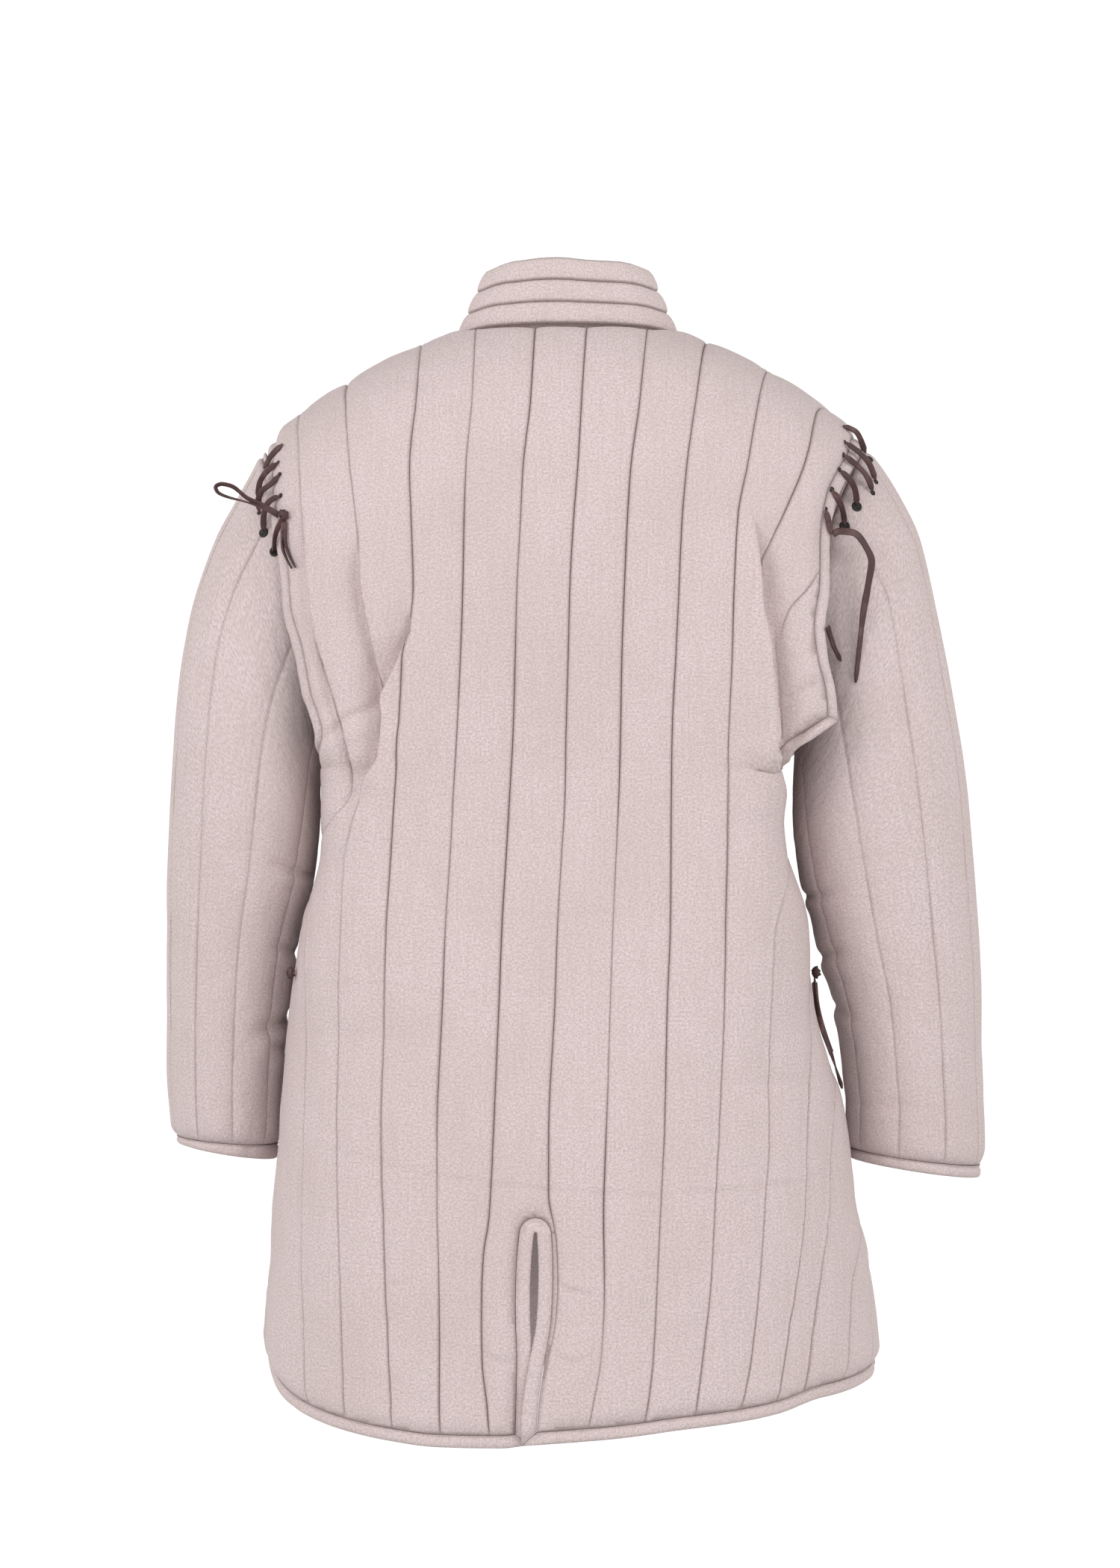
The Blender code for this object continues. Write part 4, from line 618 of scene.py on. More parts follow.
class Body:
    """The back or the front of the body as one surface.

    across is the distance along the cloth from the middle, to the wearer's left, and down the
    distance along the cloth from the top of the shoulders.
    """

    ROWS, COLUMNS, ANGLES = 420, 361, 721

    def __init__(self, side):
        self.side = side
        rows = sorted(BODY_ROWS + (FLAP_ROW,) * (side == BACK), reverse=True)
        table = dict(zip(BODY_COLUMNS, np.array(rows).T))
        depth = table["back"] if side == BACK else table["front"]
        knots = lengths_along(np.stack([depth, table["height"]], axis=1))
        self.downs = np.linspace(0, knots[-1], self.ROWS)
        self.shares = np.linspace(-1, 1, self.COLUMNS)
        height, left, right, deep, power = (
            curve_through(self.downs, knots, column)
            for column in (table["height"], table["left"], table["right"], depth, table["power"])
        )
        angles = np.linspace(-np.pi / 2, np.pi / 2, self.ANGLES)
        self.grid = np.empty((self.ROWS, self.COLUMNS, 3))
        self.halves = np.empty((self.ROWS, 2))
        for row in range(self.ROWS):
            squarer = [table_at(height[row], rows) * (side == BACK) for rows in (SQUARER_RIGHT, SQUARER_LEFT)]
            turn = 2 / (power[row] + np.where(angles < 0, *squarer))
            part = np.sign(angles) * np.abs(np.sin(angles)) ** turn
            x = np.where(part > 0, left[row], right[row]) * part
            y = side * deep[row] * np.abs(np.cos(angles)) ** turn
            fade = (height[row] - ARMPIT_HEIGHT) / (RIDGE_HEIGHT - ARMPIT_HEIGHT)
            z = height[row] - SHOULDER_DROP * max(0.0, fade) * part**2
            ring = np.stack([x, y, z], axis=1)
            along = lengths_along(ring)
            middle = along[self.ANGLES // 2]
            self.halves[row] = middle, along[-1] - middle
            share = np.where(along < middle, along / middle - 1, (along - middle) / (along[-1] - middle))
            for axis in range(3):
                self.grid[row, :, axis] = np.interp(self.shares, share, ring[:, axis])
        slope_across = np.gradient(self.grid, axis=1)
        slope_down = np.gradient(self.grid, axis=0)
        self.normals = unit(np.cross(slope_across, slope_down)) * side

    def half_length(self, across, down):
        right = np.interp(down, self.downs, self.halves[:, 0])
        left = np.interp(down, self.downs, self.halves[:, 1])
        return np.where(across > 0, left, right)

    def sample(self, grid, across, down):
        row = np.clip(down / self.downs[1], 0, self.ROWS - 1.001)
        share = np.clip(across / self.half_length(across, down), -1, 1)
        column = np.clip((share + 1) / 2 * (self.COLUMNS - 1), 0, self.COLUMNS - 1.001)
        i, j = row.astype(int), column.astype(int)
        a, b = (row - i)[:, None], (column - j)[:, None]
        upper = grid[i, j] * (1 - b) + grid[i, j + 1] * b
        lower = grid[i + 1, j] * (1 - b) + grid[i + 1, j + 1] * b
        return upper * (1 - a) + lower * a

    def place(self, points, height):
        """Points in space, at a height above the cloth's inner face."""
        points = np.asarray(points, float)
        across, down = points[:, 0], points[:, 1]
        if self.side == BACK:
            across, height = lapped(self, across, down, height)
        normal = unit(self.sample(self.normals, across, down))
        place = self.sample(self.grid, across, down)
        if self.side == BACK:
            lift, shift = relief(place[:, 0], place[:, 2])
            place[:, 0] += shift
            place[:, 1] += lift
        return place + normal * np.reshape(height, (-1, 1))

    def find(self, x, axis, value):
        """The place on the cloth at this x and at this value of the axis, 1 for y or 2 for z."""
        shares = np.empty(self.ROWS)
        values = np.empty(self.ROWS)
        for row in range(self.ROWS):
            shares[row] = np.interp(x, self.grid[row, :, 0], self.shares)
            values[row] = np.interp(shares[row], self.shares, self.grid[row, :, axis])
        rising = values if values[-1] > values[0] else -values
        target = value if values[-1] > values[0] else -value
        row = int(np.clip(np.argmax(rising >= target), 1, self.ROWS - 1))
        t = np.clip((target - rising[row - 1]) / (rising[row] - rising[row - 1]), 0, 1)
        down = self.downs[row - 1] + t * (self.downs[row] - self.downs[row - 1])
        share = shares[row - 1] + t * (shares[row] - shares[row - 1])
        return share * float(self.half_length(np.array(x), down)), down

    def find_side(self, hand, y, z):
        """The place near the side, at this y and z. hand is 1 for the wearer's left."""
        middle = self.grid[:, self.COLUMNS // 2, 2]
        down = float(np.interp(-z, -middle, self.downs))
        row = int(round(down / self.downs[1]))
        half = self.COLUMNS // 2
        edge = self.grid[row, half:, 1] if hand > 0 else self.grid[row, half::-1, 1]
        share = np.interp(abs(y), np.abs(edge[::-1]), np.abs(self.shares[half:][::-1]))
        return hand * share * float(self.half_length(np.array(hand), down)), down

    def height_at(self, down):
        return np.interp(down, self.downs, self.grid[:, self.COLUMNS // 2, 2])


def relief(x, z):
    """Folds, creases and dimples of the back: how far they lift the cloth, and shift it in x."""
    lift = np.zeros(len(x))
    shift = np.zeros(len(x))
    for row in BACK_FOLDS:
        fold = dict(zip(FOLD_COLUMNS, row))
        line = np.array(fold["line"])[::-1]
        away = (x - np.interp(z, line[:, 1], line[:, 0])) * fold["sinks"]
        ends = ramp((line[-1, 1] - z) / FOLD_END) * ramp((z - line[0, 1]) / (FOLD_END * 0.6))
        sunk = ramp(away / 0.003)
        raised = fold["rise"] * np.exp(-((np.minimum(away, 0) / fold["rise_reach"]) ** 2)) * (1 - sunk)
        lowered = fold["sink"] * np.exp(-((np.maximum(away, 0) / fold["sink_reach"]) ** 2)) * sunk
        lift += ends * (raised - lowered)
        over = np.where(away < 0.0015, np.exp(-((away / 0.009) ** 2)), 0.0)
        shift += ends * over * fold["overhang"] * fold["sinks"]
    for depth, width, line in CREASES:
        line = np.array(sorted(line))
        away = z - np.interp(x, line[:, 0], line[:, 1])
        ends = ramp((x - line[0, 0]) / CREASE_END + 0.2) * ramp((line[-1, 0] - x) / CREASE_END + 0.2)
        lip = 0.4 * np.exp(-(((away - 2.2 * width) / (1.8 * width)) ** 2))
        lift += depth * ends * (lip - np.exp(-((away / width) ** 2)))
    for dimple_x, dimple_z, depth, radius in DIMPLES:
        lift -= depth * np.exp(-(((x - dimple_x) ** 2 + (z - dimple_z) ** 2) / radius**2))
    return lift, shift


def lapped(body, across, down, height):
    """The right side of the vent laps a little over the left, more so towards the hem."""
    z = body.height_at(down)
    slit = vent_middle(z)
    fade = ramp((VENT_LAP_TOP - z) / VENT_LAP_EASE) * np.exp(-(((across - slit) / VENT_LAP_REACH) ** 2))
    over = across < slit
    share = np.clip((z - VENT_OPEN_SPAN[0]) / (VENT_OPEN_SPAN[1] - VENT_OPEN_SPAN[0]), 0, 1)
    gape = VENT_OPEN / 2 * np.sin(np.pi * share**0.85) * np.exp(-(((across - slit) / VENT_LAP_REACH) ** 2))
    shift = np.where(over, VENT_LAP * fade - gape, gape)
    lift = np.where(over, VENT_LAP_LIFT * fade, -VENT_LAP_LIFT * fade)
    return across + shift, height + lift


def vent_middle(z):
    share = (VENT_TOP - z) / (VENT_TOP - VENT_FOOT)
    return VENT_AT_TOP + (VENT_AT_HEM - VENT_AT_TOP) * np.clip(share, 0, 1)


class Outline:
    """A panel's finished edge, as named stretches in order, and its width of binding on each."""

    def __init__(self):
        self.points = []
        self.widths = []
        self.spans = {}

    def add(self, name, points, width):
        points = [tuple(point) for point in points]
        if self.points and np.allclose(points[0], self.points[-1], atol=1e-4):
            points = points[1:]
            start = len(self.points) - 1
        else:
            start = len(self.points)
        self.points += points
        while len(self.widths) < len(self.points) - 1:
            self.widths.append(width)
        self.spans[name] = (start, len(self.points) - 1)

    def close(self):
        """The last point is the first one again, and no point stays within a sharp corner's mitre."""
        self.points = np.array(self.points[:-1])
        self.widths = np.array(self.widths)
        count = len(self.points)
        ahead = unit(np.roll(self.points, -1, axis=0) - self.points)
        back = np.roll(ahead, 1, axis=0)
        sine = (back[:, 0] * ahead[:, 1] - back[:, 1] * ahead[:, 0]) * np.sign(self.area())
        cosine = np.sum(back * ahead, axis=1)
        kept = np.ones(count, bool)
        corners = np.where(sine > 0.35)[0]
        for corner in corners:
            before, after = self.widths[corner - 1], self.widths[corner]
            for step, near, far in ((-1, before, after), (1, after, before)):
                reach = 1.15 * (far - near * cosine[corner]) / sine[corner] + 0.002
                i = (corner + step) % count
                while np.linalg.norm(self.points[i] - self.points[corner]) < reach and i not in corners:
                    kept[i] = False
                    i = (i + step) % count
        order = np.append(np.cumsum(kept) - 1, kept.sum())
        self.spans = {name: (order[start], order[end]) for name, (start, end) in self.spans.items()}
        self.points = self.points[kept]
        self.widths = self.widths[kept]

    def seat_shoulders(self):
        """The shoulder seams lie on the ridge, where the other panel's seam lies too."""
        for name in ("shoulder_left", "shoulder_right"):
            start, end = self.spans[name]
            self.points[start:end + 1, 1] = 0.0

    def moved_in(self, less=0.0):
        """The outline moved in by the binding's width on each edge, or by a little less."""
        points, widths = self.points, self.widths - less
        edges = unit(np.roll(points, -1, axis=0) - points)
        normals = np.stack([edges[:, 1], -edges[:, 0]], axis=1)
        if self.area() > 0:
            normals = -normals
        before, width_before = np.roll(normals, 1, axis=0), np.roll(widths, 1)
        cross = before[:, 0] * normals[:, 1] - before[:, 1] * normals[:, 0]
        bent = np.abs(cross) > 0.05
        safe = np.where(bent, cross, 1.0)
        x = (width_before * normals[:, 1] - widths * before[:, 1]) / safe
        y = (widths * before[:, 0] - width_before * normals[:, 0]) / safe
        straight = unit(before + normals) * ((widths + width_before) / 2)[:, None]
        return points + np.where(bent[:, None], np.stack([x, y], axis=1), straight)

    def area(self):
        x, y = self.points.T
        return 0.5 * np.sum(x * np.roll(y, -1) - np.roll(x, -1) * y)


def inside(points, outline):
    """Whether each point lies within the closed outline."""
    result = np.zeros(len(points), bool)
    x, y = points.T
    for (x0, y0), (x1, y1) in zip(outline, np.roll(outline, -1, axis=0)):
        crosses = (y0 > y) != (y1 > y)
        if abs(y1 - y0) > 1e-12:
            result ^= crosses & (x < (x1 - x0) * (y - y0) / (y1 - y0) + x0)
    return result


def distance_to(points, outline):
    """The distance from each point to the closed outline."""
    nearest = np.full(len(points), 1e9)
    for start, end in zip(outline, np.roll(outline, -1, axis=0)):
        along = end - start
        t = np.clip((points - start) @ along / max(along @ along, 1e-12), 0, 1)
        nearest = np.minimum(nearest, np.linalg.norm(points - start - t[:, None] * along, axis=1))
    return nearest


SLOT_WIDTH = 0.013
SLOT_PART = 0.5
# Painted shade at a panel's cut edge, where its binding folds over it
EDGE_SHADE = 0.55


def padding(share, slot=SLOT_PART):
    """The padding's rise, 0 on a stitched line and 1 on the crown: a narrow slot, then a soft slope."""
    near = np.minimum(share, 1 - share)
    return slot * (1 - np.exp(-((near / SLOT_WIDTH) ** 2))) + (1 - slot) * (1 - np.abs(2 * share - 1) ** 3)


def back_lines(body, downs):
    """Where each stitched line lies across the back, at each distance down."""
    found = []
    for rows in BACK_LINES:
        places = sorted((body.find(x, 2, z) for z, x in rows), key=lambda place: place[1])
        found.append(curve_through(downs, [p[1] for p in places], [p[0] for p in places]))
    for _ in range(LINES_EACH_SIDE):
        found.insert(0, found[0] + CHANNEL)
        found.append(found[-1] - CHANNEL)
    middle = len(found) // 2
    for i in range(middle + 1, len(found)):
        found[i] = np.minimum(found[i], found[i - 1] - NARROWEST_CHANNEL)
    for i in range(middle - 1, -1, -1):
        found[i] = np.maximum(found[i], found[i + 1] + NARROWEST_CHANNEL)
    return np.array(found[::-1])


def faint(body, across, down):
    """How far the stitched lines of the back show: little where they come out below the wings."""
    place = body.sample(body.grid, across, down)
    x, z = place[:, 0], place[:, 2]
    low = ramp((FAINT_BELOW - z) / 0.05)
    beside = np.maximum(ramp((x - FAINT_LEFT) / 0.01), ramp((FAINT_RIGHT - x) / 0.01))
    return 1 - beside * low * (0.85 - 0.45 * ramp((FAINT_BELOW - 0.15 - z) / 0.2))


def front_lines(body, downs):
    start = table_at(body.height_at(downs), LINE_DRIFT)
    return np.array([start + channel * CHANNEL for channel in range(-9, 10)])


class Grid:
    """Points on the quilting's channels, row by row, within a panel's cut edge."""

    def __init__(self, body, lines_of, edge, shares, spacing):
        low, high = edge.min(axis=0), edge.max(axis=0)
        rows = np.linspace(low[1], high[1], int((high[1] - low[1]) / spacing))[1:-1]
        lines = lines_of(body, rows)
        steps = np.array(shares)
        count = len(lines) - 1
        near, far = lines[:-1], lines[1:]
        across = near[:, None, :] + (far - near)[:, None, :] * steps[None, :, None]
        columns = count * len(steps)
        shape = (columns, len(rows))
        points = np.stack([across.reshape(columns, -1), np.broadcast_to(rows, shape)], axis=-1)
        share = np.broadcast_to(np.tile(steps, count)[:, None], shape)
        channel = np.broadcast_to(np.repeat(np.arange(count), len(steps))[:, None], shape)
        width = np.repeat(far - near, len(steps), axis=0)
        flat = points.reshape(-1, 2)
        away = distance_to(flat, edge)
        kept = inside(flat, edge) & (away > CLEAR)
        index = np.full(len(flat), -1)
        index[kept] = np.arange(kept.sum())
        index = index.reshape(shape)
        self.points = flat[kept]
        self.away = away[kept]
        self.share = share.reshape(-1)[kept]
        self.channel = channel.reshape(-1)[kept]
        self.width = width.reshape(-1)[kept]
        first, second = index[:, :-1].reshape(-1), index[:, 1:].reshape(-1)
        both = (first >= 0) & (second >= 0)
        self.links = np.stack([first[both], second[both]], axis=1)


def triangulated(outline, points, links):
    """Triangles over the outline's inside, through the given points and along the given links."""
    count = len(outline)
    corners = [Vector(point) for point in outline] + [Vector(point) for point in points]
    edges = [(i, (i + 1) % count) for i in range(count)]
    edges += [(int(first) + count, int(second) + count) for first, second in links]
    places, _, faces, origins, _, _ = delaunay_2d_cdt(corners, edges, [], 0, 1e-7, True)
    places = np.array([tuple(place) for place in places])
    index = [origin[0] for origin in origins]
    ordered = np.empty_like(places)
    ordered[index] = places
    faces = np.array([[index[corner] for corner in face] for face in faces])
    return ordered, faces[inside(ordered[faces].mean(axis=1), ordered[:count])]


def facing(points, faces, side):
    """The faces turned so that they face outwards on this side of the body."""
    a, b, c = points[faces[:, 0]], points[faces[:, 1]], points[faces[:, 2]]
    area = (b[:, 0] - a[:, 0]) * (c[:, 1] - a[:, 1]) - (c[:, 0] - a[:, 0]) * (b[:, 1] - a[:, 1])
    turned = faces.copy()
    turned[area * side < 0] = faces[area * side < 0][:, ::-1]
    return turned


def made(name, points, faces, finish, nodes=(), uvs=None, groove_shades=None):
    """A mesh piece that rides on the part, with its cloth coordinates and the painted shade along its seams
    and folds.
    """
    mesh = bpy.data.meshes.new(name)
    mesh.from_pydata(np.asarray(points).tolist(), [], [list(map(int, face)) for face in faces])
    if uvs is not None:
        corners = np.empty(len(mesh.loops), int)
        mesh.loops.foreach_get("vertex_index", corners)
        layer = mesh.uv_layers.new(name="cloth")
        layer.data.foreach_set("uv", np.asarray(uvs)[corners].ravel())
    if groove_shades is not None:
        layer = mesh.attributes.new("groove_shade", "FLOAT", "POINT")
        layer.data.foreach_set("value", np.asarray(groove_shades, float))
    mesh.validate()
    mesh.shade_smooth()
    mesh.materials.append(finish)
    thing = bpy.data.objects.new(name, mesh)
    bpy.context.scene.collection.objects.link(thing)
    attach(thing, "root")
    if nodes:
        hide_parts(*nodes)
    return thing


def panel(name, body, outline, lines_of, node, seed):
    """A quilted wall: raised outer face, plain inner face, and a narrow side all round."""
    edge = outline.moved_in()
    grid = Grid(body, lines_of, edge, OUTER_SHARES, OUTER_ROW)
    lining = Grid(body, lines_of, edge, INNER_SHARES, INNER_ROW)
    outer, outer_faces = triangulated(edge, grid.points, grid.links)
    inner, inner_faces = triangulated(edge, lining.points, lining.links)
    count = len(edge)
    rise = padding(grid.share) * np.clip(grid.width / CHANNEL, 0.15, 1.1) ** 0.8
    u, v = grid.points.T
    line = grid.channel + np.round(grid.share)
    near_line = np.minimum(grid.share, 1 - grid.share) * grid.width
    depth = ramp(0.62 + 0.55 * noise(line * 0.31, v, 0.14, seed + 3))
    if body.side == BACK:
        depth = depth * faint(body, u, v)
    full = WALL_AT_LINES + (WALL_AT_CROWNS - WALL_AT_LINES) * rise
    full += (1 - depth) * LINE_FILL * np.exp(-((near_line / LINE_FILL_REACH) ** 2))
    full += LUMP * noise(u, v, LUMP_STEP, seed) + DENT * noise(u, v, DENT_STEP, seed + 1)
    full += (grid.share - 0.5) * TILT * noise(grid.channel * 0.41, v, TILT_STEP, seed + 4)
    full += PUCKER * noise(line * 0.17, v, PUCKER_STEP, seed + 2) * np.exp(-near_line / 0.005)
    fade = np.clip(grid.away / EDGE_FADE, 0, 1)
    height = WALL_AT_EDGES + (full - WALL_AT_EDGES) * fade * (2 - fade)
    heights = np.concatenate([np.full(count, WALL_AT_EDGES), height])
    # Painted shade in the grooves of the stitched lines, fainter where a line is shallow, and at the cut edge
    shade_on_lines = (0.12 + 0.88 * depth) * np.exp(-((near_line / GROOVE_SHADE_REACH) ** 2))
    groove_shades = np.concatenate([np.full(count, EDGE_SHADE), shade_on_lines])
    outer_points = body.place(outer, heights)
    inner_points = body.place(inner, np.zeros(len(inner)))
    base = len(outer)
    sides = []
    turn = outline.area() * body.side > 0
    for i in range(count):
        j = (i + 1) % count
        side = (i, i + base, j + base, j)
        sides.append(side if turn else side[::-1])
    faces = list(facing(outer, outer_faces, body.side))
    faces += list(facing(inner, inner_faces, -body.side) + base) + sides
    points = np.concatenate([outer_points, inner_points])
    uvs = np.concatenate([outer, inner])
    groove_shades = np.concatenate([groove_shades, np.zeros(len(inner))])
    return made(name, points, faces, canvas(), [node], uvs, groove_shades)


def tube(rings, closed=False):
    """Faces of a closed solid through rings of points, capped at its ends unless it closes on itself."""
    count, around = rings.shape[:2]
    points = rings.reshape(-1, 3)
    i, j = np.meshgrid(np.arange(count if closed else count - 1), np.arange(around), indexing="ij")
    k, n = (i + 1) % count, (j + 1) % around
    faces = np.stack([i * around + j, i * around + n, k * around + n, k * around + j], axis=-1).reshape(-1, 4)
    a, b, c, d = (points[faces[:, corner]] for corner in range(4))
    volume = np.sum(a * np.cross(b, c)) + np.sum(a * np.cross(c, d))
    faces = [tuple(face) for face in faces]
    if not closed:
        faces.append(tuple(range(around))[::-1])
        faces.append(tuple((count - 1) * around + j for j in range(around)))
    if volume < 0:
        faces = [face[::-1] for face in faces]
    return points, faces


# Section of a binding: share of its width from the cloth to the edge, and height
BINDING_SECTION = (
    (0.0, 0.0003),
    (0.5, 0.0000),
    (0.86, 0.0004),
    (1.0, 0.0020),
    (1.02, 0.0036),
    (0.94, 0.0054),
    (0.72, 0.0064),
    (0.42, 0.0064),
    (0.20, 0.0054),
    (0.14, 0.0049),
    (0.08, 0.0055),
    (0.0, 0.0060),
)
FACING_SECTION = (
    (0.0, 0.0003),
    (0.5, 0.0000),
    (0.9, 0.0004),
    (1.0, 0.0018),
    (1.01, 0.0038),
    (0.95, 0.0054),
    (0.80, 0.0060),
    (0.45, 0.0060),
    (0.20, 0.0057),
    (0.13, 0.0052),
    (0.07, 0.0057),
    (0.0, 0.0056),
)
STITCH_SHARE = 0.14
STITCH_HEIGHT = 0.0051
STITCH_FOOT = 0.0031
STITCHES = []


def strip_shades(section, shade, light):
    """How much painted shade each point of a strip's section gets: in its inner fold, then beside its
    stitches.
    """
    return [shade if share < 0.05 else light if share < 0.17 else 0.0 for share, _ in section]


def strip(name, body, outer, inner, node, seed, section, shade):
    """A narrow folded strip between a panel's cut edge and its finished edge, with its stitches."""
    outer, inner = np.array(outer), np.array(inner)
    for end, near in ((0, 1), (-1, -2)):
        for line in (outer, inner):
            step = line[near] - line[end]
            line[end] = line[end] + step * (0.0002 / np.linalg.norm(step))
    along = lengths_along(outer)
    rings = []
    for share, height in section:
        wave = 1 + 0.10 * noise(along, along * 0, 0.012, seed) * (height > 0.002)
        rings.append(body.place(inner + share * (outer - inner), height * wave))
    rings = np.stack(rings, axis=1)
    points, faces = tube(rings)
    widths = np.tile([share for share, _ in section], len(along)) * BINDING
    uvs = np.stack([np.repeat(along, len(section)), widths], axis=1)
    # Painted shade in the strip's inner fold and beside its stitches
    groove_shades = np.tile(strip_shades(section, shade, shade * 0.3), len(along))
    made(name, points, faces, canvas(), [node], uvs, groove_shades)
    line = inner + STITCH_SHARE * (outer - inner)
    route = body.place(line, np.full(len(line), STITCH_HEIGHT))
    below = body.place(line, np.full(len(line), STITCH_FOOT))
    STITCHES.append((route, unit(route - below)))


def stitch_rows(name, rows, finish):
    """One mesh of short raised stitches along each route."""
    points, faces = [], []
    shape = [(0, 3, 2), (0, 4, 3), (0, 5, 4), (0, 2, 5), (1, 6, 7), (1, 7, 8), (1, 8, 9), (1, 9, 6)]
    shape += [(2, 3, 7, 6), (3, 4, 8, 7), (4, 5, 9, 8), (5, 2, 6, 9)]
    for route, outwards in rows:
        along = lengths_along(route)
        starts = np.arange(0.001, along[-1] - STITCH_LENGTH, STITCH_PITCH)
        if not len(starts):
            continue
        first = at_lengths(starts, along, route)
        second = at_lengths(starts + STITCH_LENGTH, along, route)
        out = unit(at_lengths(starts + STITCH_LENGTH / 2, along, outwards))
        ahead = unit(second - first)
        across = unit(np.cross(ahead, out))
        corners = [first - out * STITCH_RADIUS, second - out * STITCH_RADIUS]
        for centre in (first + ahead * STITCH_LENGTH * 0.16, second - ahead * STITCH_LENGTH * 0.16):
            for a, b in ((1, 0), (0, 1), (-1, 0), (0, -1)):
                corners.append(centre + (across * a + out * b) * STITCH_RADIUS)
        base = len(points) * len(corners)
        for k in range(len(starts)):
            faces += [tuple(base + k * len(corners) + corner for corner in face) for face in shape]
        points += list(np.stack(corners, axis=1))
    return made(name, np.concatenate(points), faces, finish)


def at_lengths(distances, along, values):
    return np.stack([np.interp(distances, along, column) for column in values.T], axis=1)


def back_outline(body, spacing):
    line = Outline()
    armhole_right = armhole_edge(body, BACK_ARMHOLE_RIGHT)
    armhole_left = armhole_edge(body, BACK_ARMHOLE_LEFT)
    flap = [body.find(x, 2, z) for x, z in FLAP_FOOT]
    side_right = side_edge(body, -1, BACK_SIDE, BACK_SIDE_TOP_RIGHT, BACK_SIDE_FOOT_RIGHT)
    side_left = side_edge(body, 1, BACK_SIDE, BACK_SIDE_TOP_LEFT, BACK_SIDE_FOOT_LEFT)
    hem = [body.find(x, 2, z) for x, z in BACK_HEM]
    hem_down = float(np.interp(VENT_AT_HEM, [p[0] for p in hem], [p[1] for p in hem]))
    hem_right = [side_right[-1]] + [p for p in hem if p[0] < VENT_AT_HEM - VENT_HEM_CLEAR][1:]
    hem_right.append((VENT_AT_HEM - VENT_GAP / 2, hem_down))
    hem_left = [(VENT_AT_HEM + VENT_GAP / 2, hem_down)]
    hem_left += [p for p in hem if p[0] > VENT_AT_HEM + VENT_HEM_CLEAR][:-1] + [side_left[-1]]
    top = float(np.interp(-VENT_TOP, -body.grid[:, body.COLUMNS // 2, 2], body.downs))
    downs = np.linspace(hem_down, top, max(4, int((hem_down - top) / spacing)))
    middles = vent_middle(body.height_at(downs))
    half = VENT_GAP / 2
    angles = np.linspace(0, np.pi, 9)[1:-1]
    arch = [(middles[-1] - half * np.cos(a), top - half * np.sin(a)) for a in angles]
    vent = [(m - half, d) for m, d in zip(middles, downs)] + arch
    vent += [(m + half, d) for m, d in zip(middles[::-1], downs[::-1])]
    line.add("armhole_right", smooth_path(armhole_right, spacing), BINDING)
    line.add("side_right", smooth_path([armhole_right[-1]] + flap[1:] + side_right, spacing), BINDING)
    line.add("hem_right", smooth_path(hem_right, spacing), BINDING)
    line.add("vent", vent, VENT_FACING)
    line.add("hem_left", smooth_path(hem_left, spacing), BINDING)
    line.add("side_left", smooth_path(([armhole_left[-1]] + side_left)[::-1], spacing), BINDING)
    line.add("armhole_left", smooth_path(armhole_left[::-1], spacing), BINDING)
    add_shoulders(line, body, armhole_left[0], armhole_right[0], NECK_BACK, spacing)
    line.close()
    line.seat_shoulders()
    return line


def armhole_edge(body, rows):
    """The armhole from the shoulder's tip on the ridge down to the panel's side."""
    tip = body.find(rows[0][0], 1, body.side * RIDGE_DEPTH)
    return [tip] + [body.find(x, 2, z) for x, z in rows[1:]]


def side_edge(body, hand, rows, top, foot):
    heights = np.linspace(top, foot, 12)
    return [body.find_side(hand, float(table_at(z, rows)), float(z)) for z in heights]


def neck_edge(body, depth):
    """The neck hole's edge, from the left shoulder round to the right one."""
    angles = np.linspace(0, np.pi, 13)
    plan = [(NECK_HALF_WIDTH * np.cos(a), max(depth * np.sin(a), RIDGE_DEPTH)) for a in angles]
    return [body.find(x, 1, body.side * y) for x, y in plan]


def add_shoulders(line, body, left_tip, right_tip, neck_depth, spacing):
    """The shoulder seams along the ridge, and the neck hole between them."""
    neck = neck_edge(body, neck_depth)
    line.add("shoulder_left", smooth_path([left_tip, neck[0]], spacing), GAP / 2)
    line.add("neck", smooth_path(neck, NECK_SPACING), GAP / 2)
    line.add("shoulder_right", smooth_path([neck[-1], right_tip], spacing), GAP / 2)


